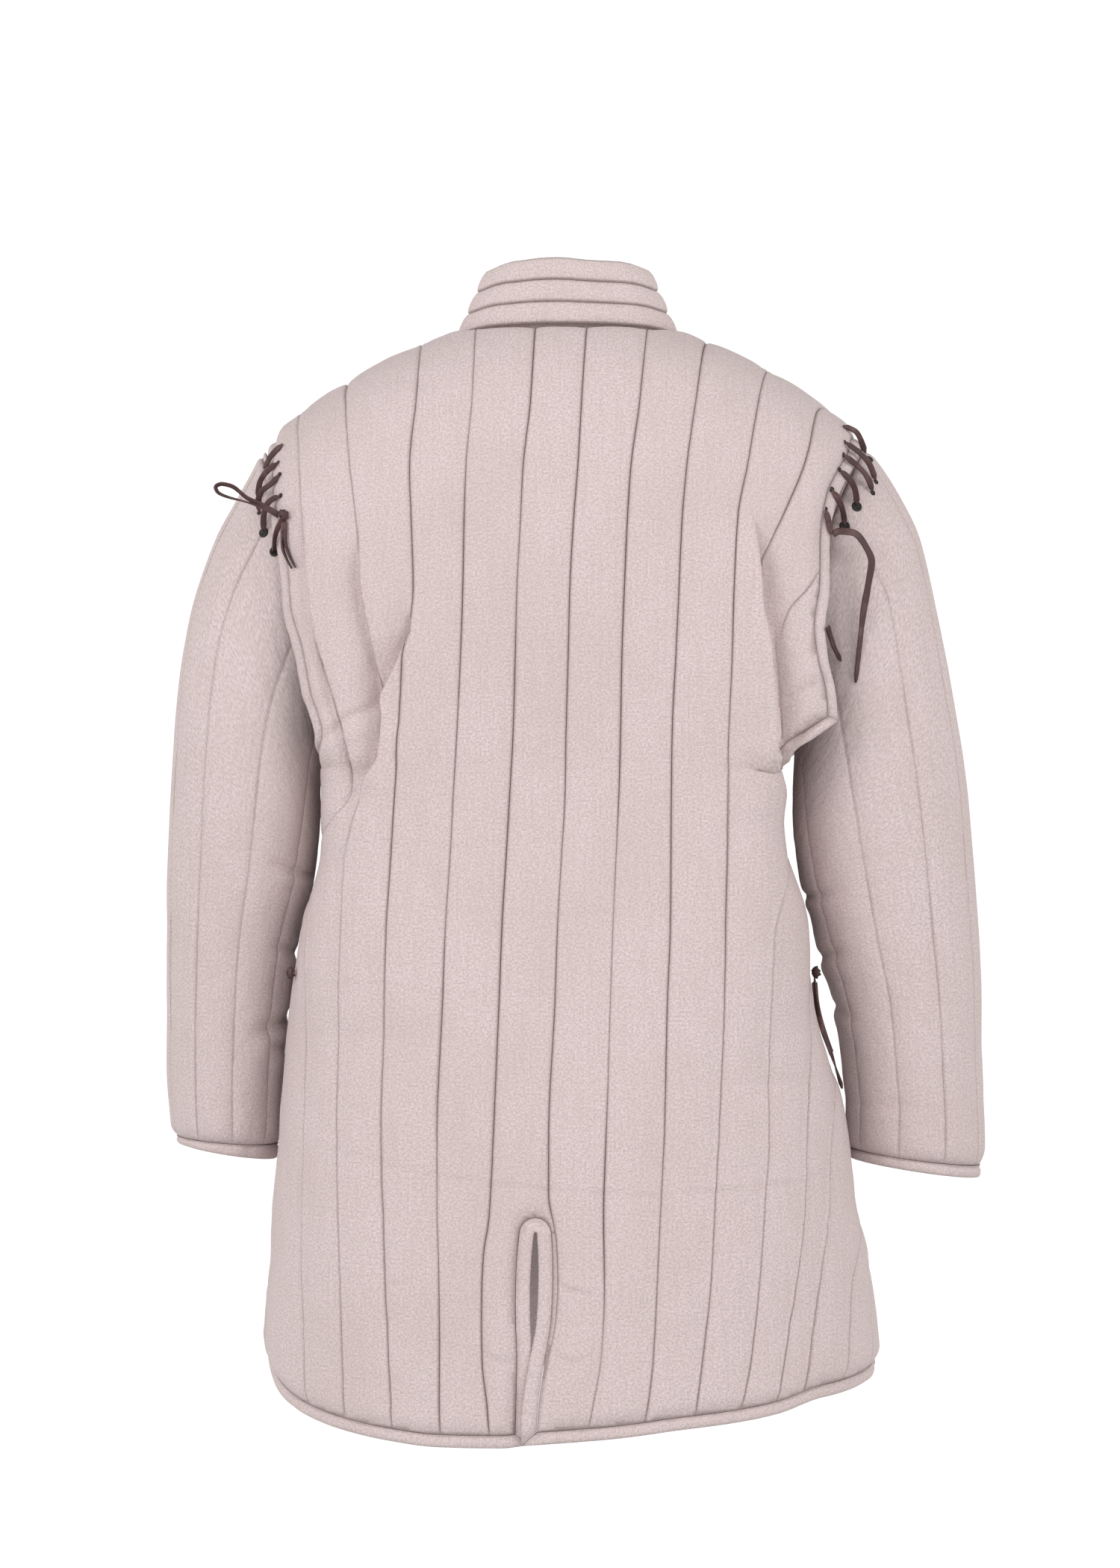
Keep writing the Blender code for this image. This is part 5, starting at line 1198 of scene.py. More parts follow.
def front_outline(body, spacing):
    line = Outline()
    armhole_left = armhole_edge(body, FRONT_ARMHOLE)
    armhole_right = armhole_edge(body, [(-x, z) for x, z in FRONT_ARMHOLE])
    side_left = side_edge(body, 1, FRONT_SIDE, FRONT_SIDE_TOP, FRONT_SIDE_FOOT)
    side_right = side_edge(body, -1, FRONT_SIDE, FRONT_SIDE_TOP, FRONT_SIDE_FOOT)
    hem = [body.find(-x, 2, z) for x, z in FRONT_HEM]
    hem += [body.find(x, 2, z) for x, z in FRONT_HEM[-2::-1]]
    hem = [side_right[-1]] + hem[1:-1] + [side_left[-1]]
    line.add("armhole_right", smooth_path(armhole_right, spacing), BINDING)
    line.add("side_right", smooth_path([armhole_right[-1]] + side_right, spacing), BINDING)
    line.add("hem", smooth_path(hem, spacing), BINDING)
    line.add("side_left", smooth_path(([armhole_left[-1]] + side_left)[::-1], spacing), BINDING)
    line.add("armhole_left", smooth_path(armhole_left[::-1], spacing), BINDING)
    neck = neck_edge(body, NECK_FRONT)
    middle = len(neck) // 2
    top = neck[middle][1]
    foot = float(np.interp(-SLIT_FOOT, -body.grid[:, body.COLUMNS // 2, 2], body.downs))
    downs = np.linspace(top, foot, max(4, int((foot - top) / spacing)))
    slit = [(SLIT_GAP / 2, down) for down in downs] + [(-SLIT_GAP / 2, down) for down in downs[::-1]]
    neck_left = neck[:middle] + [(SLIT_GAP / 2, top)]
    neck_right = [(-SLIT_GAP / 2, top)] + neck[middle + 1:]
    line.add("shoulder_left", smooth_path([armhole_left[0], neck[0]], spacing), GAP / 2)
    line.add("neck_left", smooth_path(neck_left, NECK_SPACING), GAP / 2)
    line.add("neck_slit", slit, BINDING)
    line.add("neck_right", smooth_path(neck_right, NECK_SPACING), GAP / 2)
    line.add("shoulder_right", smooth_path([neck[-1], armhole_right[0]], spacing), GAP / 2)
    line.close()
    line.seat_shoulders()
    return line


def bound_panel(name, body, outline, lines_of, seed):
    """A panel and the binding on each of its bound stretches."""
    edge = outline.moved_in()
    inner = outline.moved_in(less=BINDING_GAP)
    wall = panel(f"{name}_cloth", body, outline, lines_of, f"{name}_panel", seed)
    for number, (stretch, (start, end)) in enumerate(outline.spans.items()):
        if outline.widths[start] < BINDING / 2:
            continue
        index = [i % len(edge) for i in range(start, end + 1)]
        node = f"{name}_{stretch}_binding"
        section = FACING_SECTION if stretch == "vent" else BINDING_SECTION
        shade = 0.15 if (name, stretch) == ("back", "armhole_left") else 0.5
        outer = outline.points[index]
        strip(f"{node}_cloth", body, outer, inner[index], node, seed + number, section, shade)
    return wall


def collar(back, front):
    """A standing collar inside the neck hole: each section runs up its outer face and down inside."""
    steps = COLLAR_ROLLS * COLLAR_STEPS
    rolls = np.arange(0, steps + 1) / steps
    stand = COLLAR_STAND / COLLAR_HEIGHT
    reach = np.pi - COLLAR_OPENING / 2 / NECK_HALF_WIDTH
    angles = np.linspace(-reach, reach, COLLAR_RINGS)
    inner = [(share, -COLLAR_WALL) for share in (0.985, 0.9, 0.7, 0.5, 0.3, 0.15, 0.0)]
    around = lengths_along(np.stack([NECK_HALF_WIDTH * np.sin(angles), NECK_BACK * np.cos(angles)], axis=1))
    rings, uvs, groove_shades = [], [], []
    for angle, run in zip(angles, around):
        x, y = np.sin(angle), np.cos(angle)
        body, depth = (back, NECK_BACK) if y > 0 else (front, NECK_FRONT)
        plan_y = body.side * max(depth * abs(y), RIDGE_DEPTH)
        foot = body.place([body.find(NECK_HALF_WIDTH * x, 1, plan_y)], np.array([0.002]))[0]
        outwards = unit(np.array([x * depth, y * NECK_HALF_WIDTH, 0.0]))
        shares = stand + (1 - stand) * rolls
        phase = rolls * COLLAR_ROLLS
        near = np.abs(phase - np.round(phase)) * (1 - stand) * COLLAR_HEIGHT / COLLAR_ROLLS
        gather = float(noise(run, 0.0, 0.006, 61)) * 0.0007 + float(noise(run, 3.0, 0.015, 62)) * 0.0010
        out = COLLAR_ROLL * padding(phase - np.floor(phase)) * (1 + 0.12 * float(noise(run, 9.0, 0.03, 63)))
        out = out + gather * np.exp(-near / 0.006)
        section = [(0.0, 0.0)] + list(zip(shares, out)) + inner
        ring = []
        for share, rise in section:
            lean = share * np.array([COLLAR_LEAN * x, COLLAR_LEAN_BACK * y, 0.0])
            wave = share * (COLLAR_HEIGHT + 0.0012 * float(noise(run, 5.0, 0.05, 64)))
            ring.append(foot - outwards * (COLLAR_INSET - rise) - lean + np.array([0.0, 0.0, wave]))
        rings.append(ring)
        uvs += [(run, lengths * COLLAR_HEIGHT) for lengths in [s for s, _ in section[:-len(inner)]]]
        uvs += [(run, 0.09 + share * COLLAR_HEIGHT) for share, _ in inner]
        # Painted shade in the grooves between the collar's rolls
        groove_shades += [0.0] + list(np.exp(-((near / 0.0011) ** 2))) + [0.0] * len(inner)
    points, faces = tube(np.array(rings))
    return made("collar_cloth", points, faces, canvas(), ["collar"], uvs, groove_shades)


class Sleeve:
    """A sleeve's inner face as a surface. along runs from the shoulder to the cuff, around is a share
    of the way round, 0 at the back, positive towards the outer side."""

    def __init__(self, hand, rows, line_share, hug, creases, seed):
        self.hand = hand
        self.hug = hug
        self.line_share = line_share
        self.creases = creases
        self.seed = seed
        table = dict(zip(SLEEVE_COLUMNS, np.array(rows).T))
        middle_x = (table["outer_x"] + table["inner_x"]) / 2
        self.middle_z = (table["outer_z"] + table["inner_z"]) / 2
        steps = np.hypot(np.diff(middle_x), np.diff(self.middle_z))
        self.knots = np.concatenate([[0], np.cumsum(steps)])
        self.table = table
        self.length = self.knots[-1]

    def at(self, along, column):
        return curve_through(along, self.knots, self.table[column])

    def place(self, along, around, height):
        along = np.broadcast_to(along, np.shape(around)).astype(float)
        outer = np.stack([self.at(along, "outer_x"), 0 * along, self.at(along, "outer_z")], axis=-1)
        inner = np.stack([self.at(along, "inner_x"), 0 * along, self.at(along, "inner_z")], axis=-1)
        half = np.linalg.norm(outer - inner, axis=-1) / 2
        depth = self.at(along, "half_depth")
        angle = self.angle(around, half, depth)
        reach, swing = np.sin(angle), np.cos(angle)
        out = unit(outer - inner)
        point = (outer + inner) / 2 + out * (half * reach)[..., None]
        point[..., 1] += self.at(along, "middle_y") + depth * swing
        part = HUG_AT_SHOULDER + (1 - HUG_AT_SHOULDER) * swing**2
        hug = self.hug * np.clip(1 - along / HEAD_HUG_LENGTH, 0, 1) ** 2 * part
        point += np.stack([-out[..., 2], 0 * along, out[..., 0]], axis=-1) * hug[..., None]
        normal = unit(out * (reach / half)[..., None] + np.array([0, 1.0, 0]) * (swing / depth)[..., None])
        height = np.reshape(height, np.shape(around)) + self.relief(along, around)
        point = point + normal * height[..., None]
        point[..., 0] *= self.hand
        return point

    def angle(self, around, half, depth):
        """The angle on the ring's ellipse at a share of the way round it."""
        turn = around * 2 * np.pi
        squash = (half - depth) / (half + depth)
        return turn + 0.5 * squash * np.sin(2 * turn)

    def relief(self, along, around):
        """The creases across the sleeve, and its soft waves."""
        lift = 0.0012 * noise(along, around * 0.4, 0.06, self.seed + 5)
        for z, centre, span, depth, width, slope in self.creases:
            middle = np.interp(-z, -self.middle_z, self.knots)
            turn = around - centre - np.round(around - centre)
            away = along - middle - slope * turn
            ends = ramp(1.5 * (1 - np.abs(turn) / span))
            lip = 0.45 * np.exp(-(((away - 2.0 * width) / (1.6 * width)) ** 2))
            lift = lift + depth * ends * (lip - np.exp(-((away / width) ** 2)))
        return lift * np.clip(along / 0.06, 0, 1) * np.clip((self.length - along) / 0.03, 0, 1)


def sleeve(name, shape):
    """The quilted tube, its cuff's binding and the binding of its head."""
    columns = np.concatenate([np.arange(SLEEVE_CHANNELS) + part for part in OUTER_SHARES])
    phase = np.sort(columns) + 5
    around = phase / SLEEVE_CHANNELS + shape.line_share
    start, end = BINDING, shape.length - BINDING
    girth = float(shape.at(0.3, "half_depth")) * 2 * np.pi
    share = phase - np.floor(phase)
    near = np.minimum(share, 1 - share) * girth / SLEEVE_CHANNELS
    rings, uvs, groove_shades = [], [], []
    for along in np.linspace(start, end, int((end - start) / SLEEVE_ROW)):
        fade = np.clip(min(along - start, end - along) / EDGE_FADE, 0, 1)
        lumps = 1 + 0.16 * noise(along, phase * 0.05, 0.05, shape.seed)
        lumps = lumps + 0.05 * noise(along, phase * 0.05, 0.017, shape.seed + 1)
        pucker = PUCKER * noise(along, np.round(phase) * 0.4, PUCKER_STEP, shape.seed + 2)
        full = SLEEVE_AT_LINES + (SLEEVE_CROWN - SLEEVE_AT_LINES) * padding(share, 0.35)
        full = full + 0.004 * (lumps - 1) + pucker * np.exp(-near / 0.006)
        height = WALL_AT_EDGES + (full - WALL_AT_EDGES) * fade * (2 - fade)
        rings.append(shape.place(along, around, height))
        uvs.append(np.stack([(around - around[0]) * girth, 0 * around + along], axis=1))
        # Painted shade along the sleeve's stitched lines
        groove_shades.append(SLEEVE_SEAM_SHADE * np.exp(-((near / GROOVE_SHADE_REACH) ** 2)))
    for along in np.linspace(end, start, SLEEVE_LINING_RINGS):
        rings.append(shape.place(along, around, 0 * around))
        uvs.append(np.stack([(around - around[0]) * girth, 0 * around + along + 1], axis=1))
        groove_shades.append(0 * around)
    for channel in range(SLEEVE_CHANNELS):
        alongs = np.linspace(start + SLEEVE_STITCH_INSET, end - SLEEVE_STITCH_INSET, SLEEVE_STITCH_POINTS)
        turns = 0 * alongs + (channel / SLEEVE_CHANNELS + shape.line_share)
        route = shape.place(alongs, turns, 0 * alongs + (SLEEVE_AT_LINES + 0.0004))
        STITCHES.append((route, unit(route - shape.place(alongs, turns, 0 * alongs + 0.004))))
    points, faces = tube(np.array(rings), closed=True)
    uvs, groove_shades = np.concatenate(uvs), np.concatenate(groove_shades)
    wall = made(f"{name}_cloth", points, faces, canvas(), [name], uvs, groove_shades)
    shares = np.arange(SLEEVE_TURNS) / SLEEVE_TURNS + 0.5
    for part, edge, step in (("head", start - SLEEVE_GAP, -1), ("cuff", end + SLEEVE_GAP, 1)):
        rings = []
        wave = 1 + 0.12 * noise(shares * girth, 0 * shares, 0.014, shape.seed + 7)
        for share, height in BINDING_SECTION:
            along = edge + step * min(share, 1.0) * (BINDING - SLEEVE_GAP)
            rings.append(shape.place(along, shares, height * wave))
        points, faces = tube(np.array(rings), closed=True)
        uvs = [((turn - 0.5) * girth, share * BINDING) for share, _ in BINDING_SECTION for turn in shares]
        # Painted shade in the binding's inner fold and beside its stitches
        groove_shades = np.repeat(strip_shades(BINDING_SECTION, 0.6, 0.2), SLEEVE_TURNS)
        node = f"{name}_{part}_binding"
        made(f"{node}_cloth", points, faces, canvas(), [node], uvs, groove_shades)
        along = edge + step * STITCH_SHARE * (BINDING - SLEEVE_GAP)
        turns = np.arange(SLEEVE_STITCH_TURNS + 1) / SLEEVE_STITCH_TURNS + 0.5
        route = shape.place(along, turns, 0 * turns + STITCH_HEIGHT)
        STITCHES.append((route, unit(route - shape.place(along, turns, 0 * turns + STITCH_FOOT))))
    return wall


class Cloth:
    """The outer faces of the finished pieces, to lay laces on."""

    def __init__(self, things):
        points, faces = [], []
        for thing in things:
            base = len(points)
            points += [vertex.co.copy() for vertex in thing.data.vertices]
            faces += [[base + corner for corner in face.vertices] for face in thing.data.polygons]
        self.tree = BVHTree.FromPolygons(points, faces)

    def under(self, place, towards):
        """Where a ray from far outside, through this place in the direction given, first meets cloth."""
        towards = Vector(towards)
        hit = self.tree.ray_cast(Vector(place) - towards * 0.8, towards)
        return (np.array(hit[0]), np.array(hit[1])) if hit[0] else (None, None)

    def laid(self, route, lift, spacing, width=LACE_WIDTH):
        """A route in x and z, laid on the back and drawn tight over it."""
        found = []
        for x, z in smooth_path(route, spacing):
            tops = [self.under((x + dx, 0, z + dz), (0, -1, 0))[0] for dx, dz in BESIDE * width / 2]
            tops = [top[1] for top in tops if top is not None]
            found.append((x, (max(tops) if tops else found[-1][1] - lift) + lift, z))
        return tightened(np.array(found))


BESIDE = np.array([(0, 0), (1, 0), (-1, 0), (0, 1), (0, -1)])


def tightened(points):
    """The points with no dip towards -Y between two higher ones, as a tight lace lies."""
    along = lengths_along(points[:, [0, 2]])
    y = points[:, 1].copy()
    for i in range(1, len(points) - 1):
        for a in range(i):
            t = (along[i] - along[a]) / (along[i + 1:] - along[a])
            y[i] = max(y[i], np.max(points[a, 1] * (1 - t) + points[i + 1:, 1] * t))
    y[1:-1] = (y[:-2] + 2 * y[1:-1] + y[2:]) / 4
    return np.stack([points[:, 0], y, points[:, 2]], axis=1)


def resampled(points, spacing):
    along = lengths_along(points)
    at = np.linspace(0, along[-1], max(3, int(along[-1] / spacing)))
    return at_lengths(at, along, points)


LACE_TAPER = 0.006
# Section of a lace: shares of its half width and half thickness
LACE_SECTION = ((-1.0, -0.3), (-0.85, -1.0), (0.0, -0.85), (0.85, -1.0), (1.0, -0.3),
                (1.0, 0.3), (0.85, 1.0), (0.3, 0.8), (-0.3, 0.8), (-0.85, 1.0), (-1.0, 0.3))


def ribbon(points, outwards, twist=0.0, seed=0, width=LACE_WIDTH, tapers=(False, False)):
    """Points and faces of a flat lace with its middle on the points, turning by twist along its length."""
    points = np.asarray(points, float)
    along = lengths_along(points)
    ahead = unit(np.gradient(points, axis=0))
    across = unit(np.cross(ahead, np.broadcast_to(outwards, points.shape)))
    out = unit(np.cross(across, ahead))
    turn = twist * along + 0.35 * noise(along, 0 * along, 0.03, seed)
    breadth = width * (1 + 0.10 * noise(along, 0 * along + 4, 0.012, seed + 1))
    for tapered, away in zip(tapers, (along, along[-1] - along)):
        breadth = breadth * (0.3 + 0.7 * ramp(away / LACE_TAPER) if tapered else 1.0)
    side = across * np.cos(turn)[:, None] + out * np.sin(turn)[:, None]
    face = out * np.cos(turn)[:, None] - across * np.sin(turn)[:, None]
    rings = []
    for a, b in LACE_SECTION:
        rings.append(points + side * (breadth * a / 2)[:, None] + face * (LACE_THICKNESS * b / 2))
    return tube(np.stack(rings, axis=1))


def merged(parts):
    """Several point and face lists as one."""
    points, faces, base = [], [], 0
    for part_points, part_faces in parts:
        points.append(part_points)
        faces += [tuple(int(corner) + base for corner in face) for face in part_faces]
        base += len(part_points)
    return np.concatenate(points), faces


def spun(a, b, angle):
    return a * np.cos(angle) - b * np.sin(angle), a * np.sin(angle) + b * np.cos(angle)


def knot(centre, radii, turned):
    """Bands of lace wound round each other."""
    centre, radii = np.asarray(centre, float), np.asarray(radii, float)
    angles = np.linspace(0, 2 * np.pi, 37)
    parts = []
    for tilt, lean, size in KNOT_TURNS:
        x, y, z = np.cos(angles), 0.55 * np.sin(angles), 0 * angles
        x, z = spun(x, z, tilt + turned)
        y, z = spun(y, z, lean)
        path = centre + np.stack([x, y, z], axis=1) * radii * size
        parts.append(ribbon(path, unit(path - centre), width=KNOT_BAND))
    return merged(parts)


def ring_faces(centre, normal, radius, thickness):
    """A black eyelet: a thin ring lying on the cloth, its hole closed by a black disc of painted shade."""
    normal = unit(np.asarray(normal, float))
    side = unit(np.cross(normal, (0.3, 0.2, 1.0)))
    other = np.cross(normal, side)
    section = ((-1.0, 0.1), (-0.6, 0.9), (0.3, 0.8), (1.0, -0.9))
    rings = []
    for a in np.linspace(0, 2 * np.pi, 24, endpoint=False):
        spoke = side * np.cos(a) + other * np.sin(a)
        for reach, lift in section:
            rings.append(centre + spoke * (radius + thickness * reach) + normal * thickness * lift)
    around = len(section)
    count = len(rings) // around
    points = np.array(rings + [centre, centre - normal * thickness * 1.2])
    faces = []
    for i in range(count):
        k = (i + 1) % count
        first, second = i * around, k * around
        for j in range(around - 1):
            faces.append((first + j, first + j + 1, second + j + 1, second + j))
        # A black disc closing the hole: painted shade
        faces.append((count * around, first, second))
        faces.append((count * around + 1, second + around - 1, first + around - 1))
    return points, faces


def free_end(name, path, outwards, twist, far_end, seed, width):
    """A lace's free end, as a leather ribbon, tapered at its far end when that end is bare."""
    points, faces = ribbon(path, outwards, twist, seed, width, tapers=(False, far_end == "bare"))
    thing = made(f"{name}_leather", points, faces, leather(), [name])
    return thing


# Free ends: twist in turns by 2 pi a metre, far end, seed and width
CORD_LOOKS = {
    "shoulder_tail_right": (7.0, "bare", 81, 0.0061),
    "shoulder_end_right": (9.0, "bare", 82, 0.0050),
    "shoulder_bow_left": (14.0, "object", 83, 0.0040),
    "shoulder_tail_left": (30.0, "bare", 84, 0.0036),
    "shoulder_end_left": (34.0, "bare", 85, 0.0032),
    "hip_loop_right": (10.0, "object", 86, 0.0052),
    "hip_tail_right": (40.0, "bare", 87, 0.0052),
}
KNOT_LEFT = (0.2495, -0.1638)
KNOT_RADII = (0.0046, 0.0042, 0.0054)
KNOT_BAND = 0.0036
# Bands of a knot: tilt, lean and size
KNOT_TURNS = ((0.4, 0.1, 0.88), (-0.5, 0.5, 0.80), (1.35, -0.3, 0.72))
SIDE_KNOT_HEIGHT = -0.570
SIDE_KNOT_LIFT = 0.0175
SIDE_KNOT_DEPTH = {"right": 0.022, "left": 0.050}
SIDE_KNOT_RADII = (0.0045, 0.0055, 0.0055)
HIP_CORD_LIFT = 0.0155


def lace_path(cloth, route, lift):
    """A lace's route in x and z laid on the cloth, at a lift by shares of its thickness."""
    return resampled(cloth.laid(route, LACE_THICKNESS * lift, LACE_STEP), LACE_POINT_STEP)


def lace_all(cloth, back, front):
    """The shoulder laces, the side laces, their knots, free ends and eyelets."""
    up = np.array([0.0, 1.0, 0.2])
    for hand, bars in (("right", RIGHT_BARS), ("left", LEFT_BARS)):
        for i, route in enumerate(bars, 1):
            points, faces = ribbon(lace_path(cloth, route, BAR_LIFT), up, seed=70 + i, tapers=(True, True))
            node = f"shoulder_lace_{hand}_{i}"
            made(f"{node}_leather", points, faces, leather(), [node])
    for name, route in SHOULDER_CORDS.items():
        free_end(name, lace_path(cloth, route, END_LIFT), up, *CORD_LOOKS[name])
    below = (KNOT_LEFT[0], KNOT_LEFT[1] - 0.01)
    centre = cloth.laid([KNOT_LEFT, below], KNOT_RADII[1], 1.0)[0]
    bar = ribbon(lace_path(cloth, KNOT_BAR, BAR_LIFT), up, twist=35.0, seed=80)
    points, faces = merged([knot(centre, KNOT_RADII, 0.3), bar])
    made("shoulder_knot_left_leather", points, faces, leather(), ["shoulder_knot_left"])
    holes = []
    for x, z, radius in EYELETS:
        place, normal = cloth.under((x, 0, z), (0, -1, 0))
        if place is not None:
            ring = EYELET_RING * radius / SIDE_EYELET
            holes.append(ring_faces(place + 0.0005 * normal, normal, radius, ring))
    for hand, side in ((-1, "right"), (1, "left")):
        holes += side_lacing(hand, side, back, front, cloth)
        place = back.find_side(hand, SIDE_KNOT_DEPTH[side], SIDE_KNOT_HEIGHT)
        points, faces = knot(back.place([place], np.array([SIDE_KNOT_LIFT]))[0], SIDE_KNOT_RADII, 1.2)
        made(f"side_knot_{side}_leather", points, faces, leather(), [f"side_knot_{side}"])
    for name, route in HIP_CORDS.items():
        places = [back.find_side(-1, y, z) for y, z in smooth_path(route, 0.004)]
        path = resampled(back.place(places, np.full(len(places), HIP_CORD_LIFT)), LACE_POINT_STEP)
        free_end(name, path, np.array([-1.0, 0.1, 0.0]), *CORD_LOOKS[name])
    points, faces = merged(holes)
    made("eyelets", points, faces, eyelet_black())


def side_lacing(hand, side, back, front, cloth):
    """A lace crossing the open side from edge to edge, from below the arm to the hip, and its eyelets."""
    heights = np.arange(SIDE_LACE_TOP, SIDE_LACE_FOOT, -SIDE_LACE_STEP)
    points, holes = [], []
    for i, z in enumerate(heights):
        for body, rows in ((back, BACK_SIDE), (front, FRONT_SIDE)):
            y = float(table_at(z, rows)) + body.side * SIDE_EYELET_INSET
            place = body.find_side(hand, y, float(z))
            top = body.place([place], np.array([SIDE_LACE_LIFT]))[0]
            hit, normal = cloth.under(top, (-hand, 0, 0))
            if hit is None or abs(hit[0] - top[0]) > 0.02:
                hit, normal = top, np.array([hand, 0.0, 0.0])
            holes.append(ring_faces(hit + 0.0006 * normal, normal, SIDE_EYELET, EYELET_RING))
            if (body is back) == (i % 2 == 0):
                points.append(top)
    dense = []
    for first, second in zip(points, points[1:]):
        for t in np.linspace(0, 1, 16, endpoint=False):
            bow = np.array([hand * SIDE_LACE_BOW * t * (1 - t), 0, 0])
            dense.append(first + t * (second - first) + bow)
    dense.append(points[-1])
    shape, faces = ribbon(dense, np.array([hand, 0.0, 0.0]), seed=90 + hand)
    made(f"side_lace_{side}_leather", shape, faces, leather(), [f"side_lace_{side}"])
    return holes


class Nodes:
    """Makes and links shader nodes."""

    def __init__(self, name):
        self.material = bpy.data.materials.new(name)
        self.material.use_nodes = True
        self.tree = self.material.node_tree
        self.shader = self.tree.nodes["Principled BSDF"]

    def add(self, kind, settings=(), **inputs):
        node = self.tree.nodes.new(kind)
        for key, value in dict(settings).items():
            setattr(node, key, value)
        for key, value in inputs.items():
            self.set(node, key.replace("_", " "), value)
        return node

    def set(self, node, key, value):
        socket = node.inputs[int(key)] if key.isdigit() else node.inputs[key]
        if isinstance(value, bpy.types.NodeSocket):
            self.tree.links.new(value, socket)
        else:
            socket.default_value = value

    def maths(self, operation, *values):
        node = self.add("ShaderNodeMath", {"operation": operation})
        for index, value in enumerate(values):
            self.set(node, str(index), value)
        return node.outputs[0]

    def mixed(self, share, first, second):
        node = self.add("ShaderNodeMix", {"data_type": "RGBA", "blend_type": "MIX"})
        self.set(node, "0", share)
        for index, value in ((6, first), (7, second)):
            value = value if isinstance(value, bpy.types.NodeSocket) else (*value, 1.0)
            self.set(node, str(index), value)
        return node.outputs[2]

    def noise(self, vector, scale, detail=3.0, rough=0.5):
        node = self.add("ShaderNodeTexNoise", Vector=vector, Scale=scale, Detail=detail, Roughness=rough)
        return node.outputs["Fac"]

    def between(self, value, low, high):
        """From 0 at low to 1 at high, smoothly."""
        node = self.add("ShaderNodeMapRange", {"interpolation_type": "SMOOTHSTEP"})
        for index, item in enumerate((value, low, high)):
            self.set(node, str(index), item)
        return node.outputs[0]


@cache
def canvas():
    """Undyed cotton canvas: a fine plain weave with small brown flecks, and painted shade along its seams,
    stitched lines and binding folds.
    """
    n = Nodes("canvas_cloth")
    cloth = n.add("ShaderNodeUVMap", {"uv_map": "cloth"}).outputs[0]
    place = n.add("ShaderNodeTexCoord").outputs["Object"]
    apart = n.add("ShaderNodeSeparateXYZ", Vector=cloth)
    wobble = n.maths("MULTIPLY", n.noise(cloth, 240.0, 2.0), 1.6)
    turns = []
    for axis in (0, 1):
        phase = n.maths("MULTIPLY", apart.outputs[axis], 2 * np.pi / WEAVE_PITCH)
        turns.append(n.maths("SINE", n.maths("ADD", phase, wobble)))
    weave = n.maths("MULTIPLY", turns[0], turns[1])
    slub = n.noise(cloth, 900.0, 3.0, 0.6)
    groove_shade = n.add("ShaderNodeAttribute", {"attribute_name": "groove_shade"}).outputs["Fac"]
    patches = n.noise(place, 9.0, 4.0, 0.55)
    mottled = n.noise(place, 46.0, 3.0, 0.6)
    tone = n.mixed(n.between(patches, 0.38, 0.68), CANVAS, CANVAS_SHADE_SOFT)
    tone = n.mixed(n.maths("MULTIPLY", n.between(mottled, 0.42, 0.72), 0.35), tone, CANVAS_SHADE_SOFT)
    thread = n.maths("MULTIPLY", n.between(weave, 0.2, -0.9), 0.30)
    tone = n.mixed(thread, tone, CANVAS_SHADE)
    tone = n.mixed(n.maths("MULTIPLY", n.between(slub, 0.52, 0.80), 0.30), tone, CANVAS_SHADE)
    grain = n.noise(cloth, 520.0, 3.0, 0.8)
    tone = n.mixed(n.maths("MULTIPLY", n.between(grain, 0.36, 0.64), 0.80), tone, GRAIN_SHADE)
    warp = n.add("ShaderNodeVectorMath", {"operation": "MULTIPLY"})
    n.set(warp, "0", cloth)
    n.set(warp, "1", (1.0, 0.05, 1.0))
    streaks = n.noise(warp.outputs[0], 300.0, 3.0, 0.65)
    tone = n.mixed(n.maths("MULTIPLY", n.between(streaks, 0.42, 0.70), 0.26), tone, CANVAS_SHADE)
    flecks = n.add("ShaderNodeTexVoronoi", Vector=cloth, Scale=125.0, Randomness=1.0).outputs["Distance"]
    sparse = n.between(n.noise(cloth, 31.0, 1.0), 0.52, 0.66)
    fleck = n.maths("MULTIPLY", n.between(flecks, 0.075, 0.03), sparse)
    tone = n.mixed(n.maths("MULTIPLY", fleck, 0.75), tone, FLECK)
    # Painted shade along seams, stitched lines and binding folds, read from the mesh attribute
    tone = n.mixed(n.maths("MULTIPLY", groove_shade, 0.78), tone, GROOVE_SHADE_COLOUR)
    n.set(n.shader, "Base Color", tone)
    n.set(n.shader, "Roughness", 0.95)
    n.set(n.shader, "Specular IOR Level", 0.2)
    n.set(n.shader, "Sheen Weight", 0.12)
    n.set(n.shader, "Sheen Roughness", 0.5)
    rough = n.maths("ADD", n.maths("MULTIPLY", weave, 0.5), n.maths("MULTIPLY", slub, 1.1))
    fine = n.add("ShaderNodeBump", Strength=0.35, Distance=0.0004, Height=rough)
    waves = n.noise(cloth, 70.0, 4.0, 0.6)
    soft = n.add("ShaderNodeBump", Strength=0.45, Distance=0.004, Height=waves, Normal=fine.outputs[0])
    n.set(n.shader, "Normal", soft.outputs[0])
    return n.material


@cache
def thread():
    """Waxed linen thread: two plies twisted, a little lighter than the canvas."""
    n = Nodes("thread")
    place = n.add("ShaderNodeTexCoord").outputs["Object"]
    worn = n.noise(place, 160.0, 2.0)
    n.set(n.shader, "Base Color", n.mixed(worn, THREAD, CANVAS_SHADE))
    n.set(n.shader, "Roughness", 0.8)
    bump = n.add("ShaderNodeBump", Strength=0.4, Distance=0.0002, Height=n.noise(place, 2600.0, 2.0))
    n.set(n.shader, "Normal", bump.outputs[0])
    return n.material


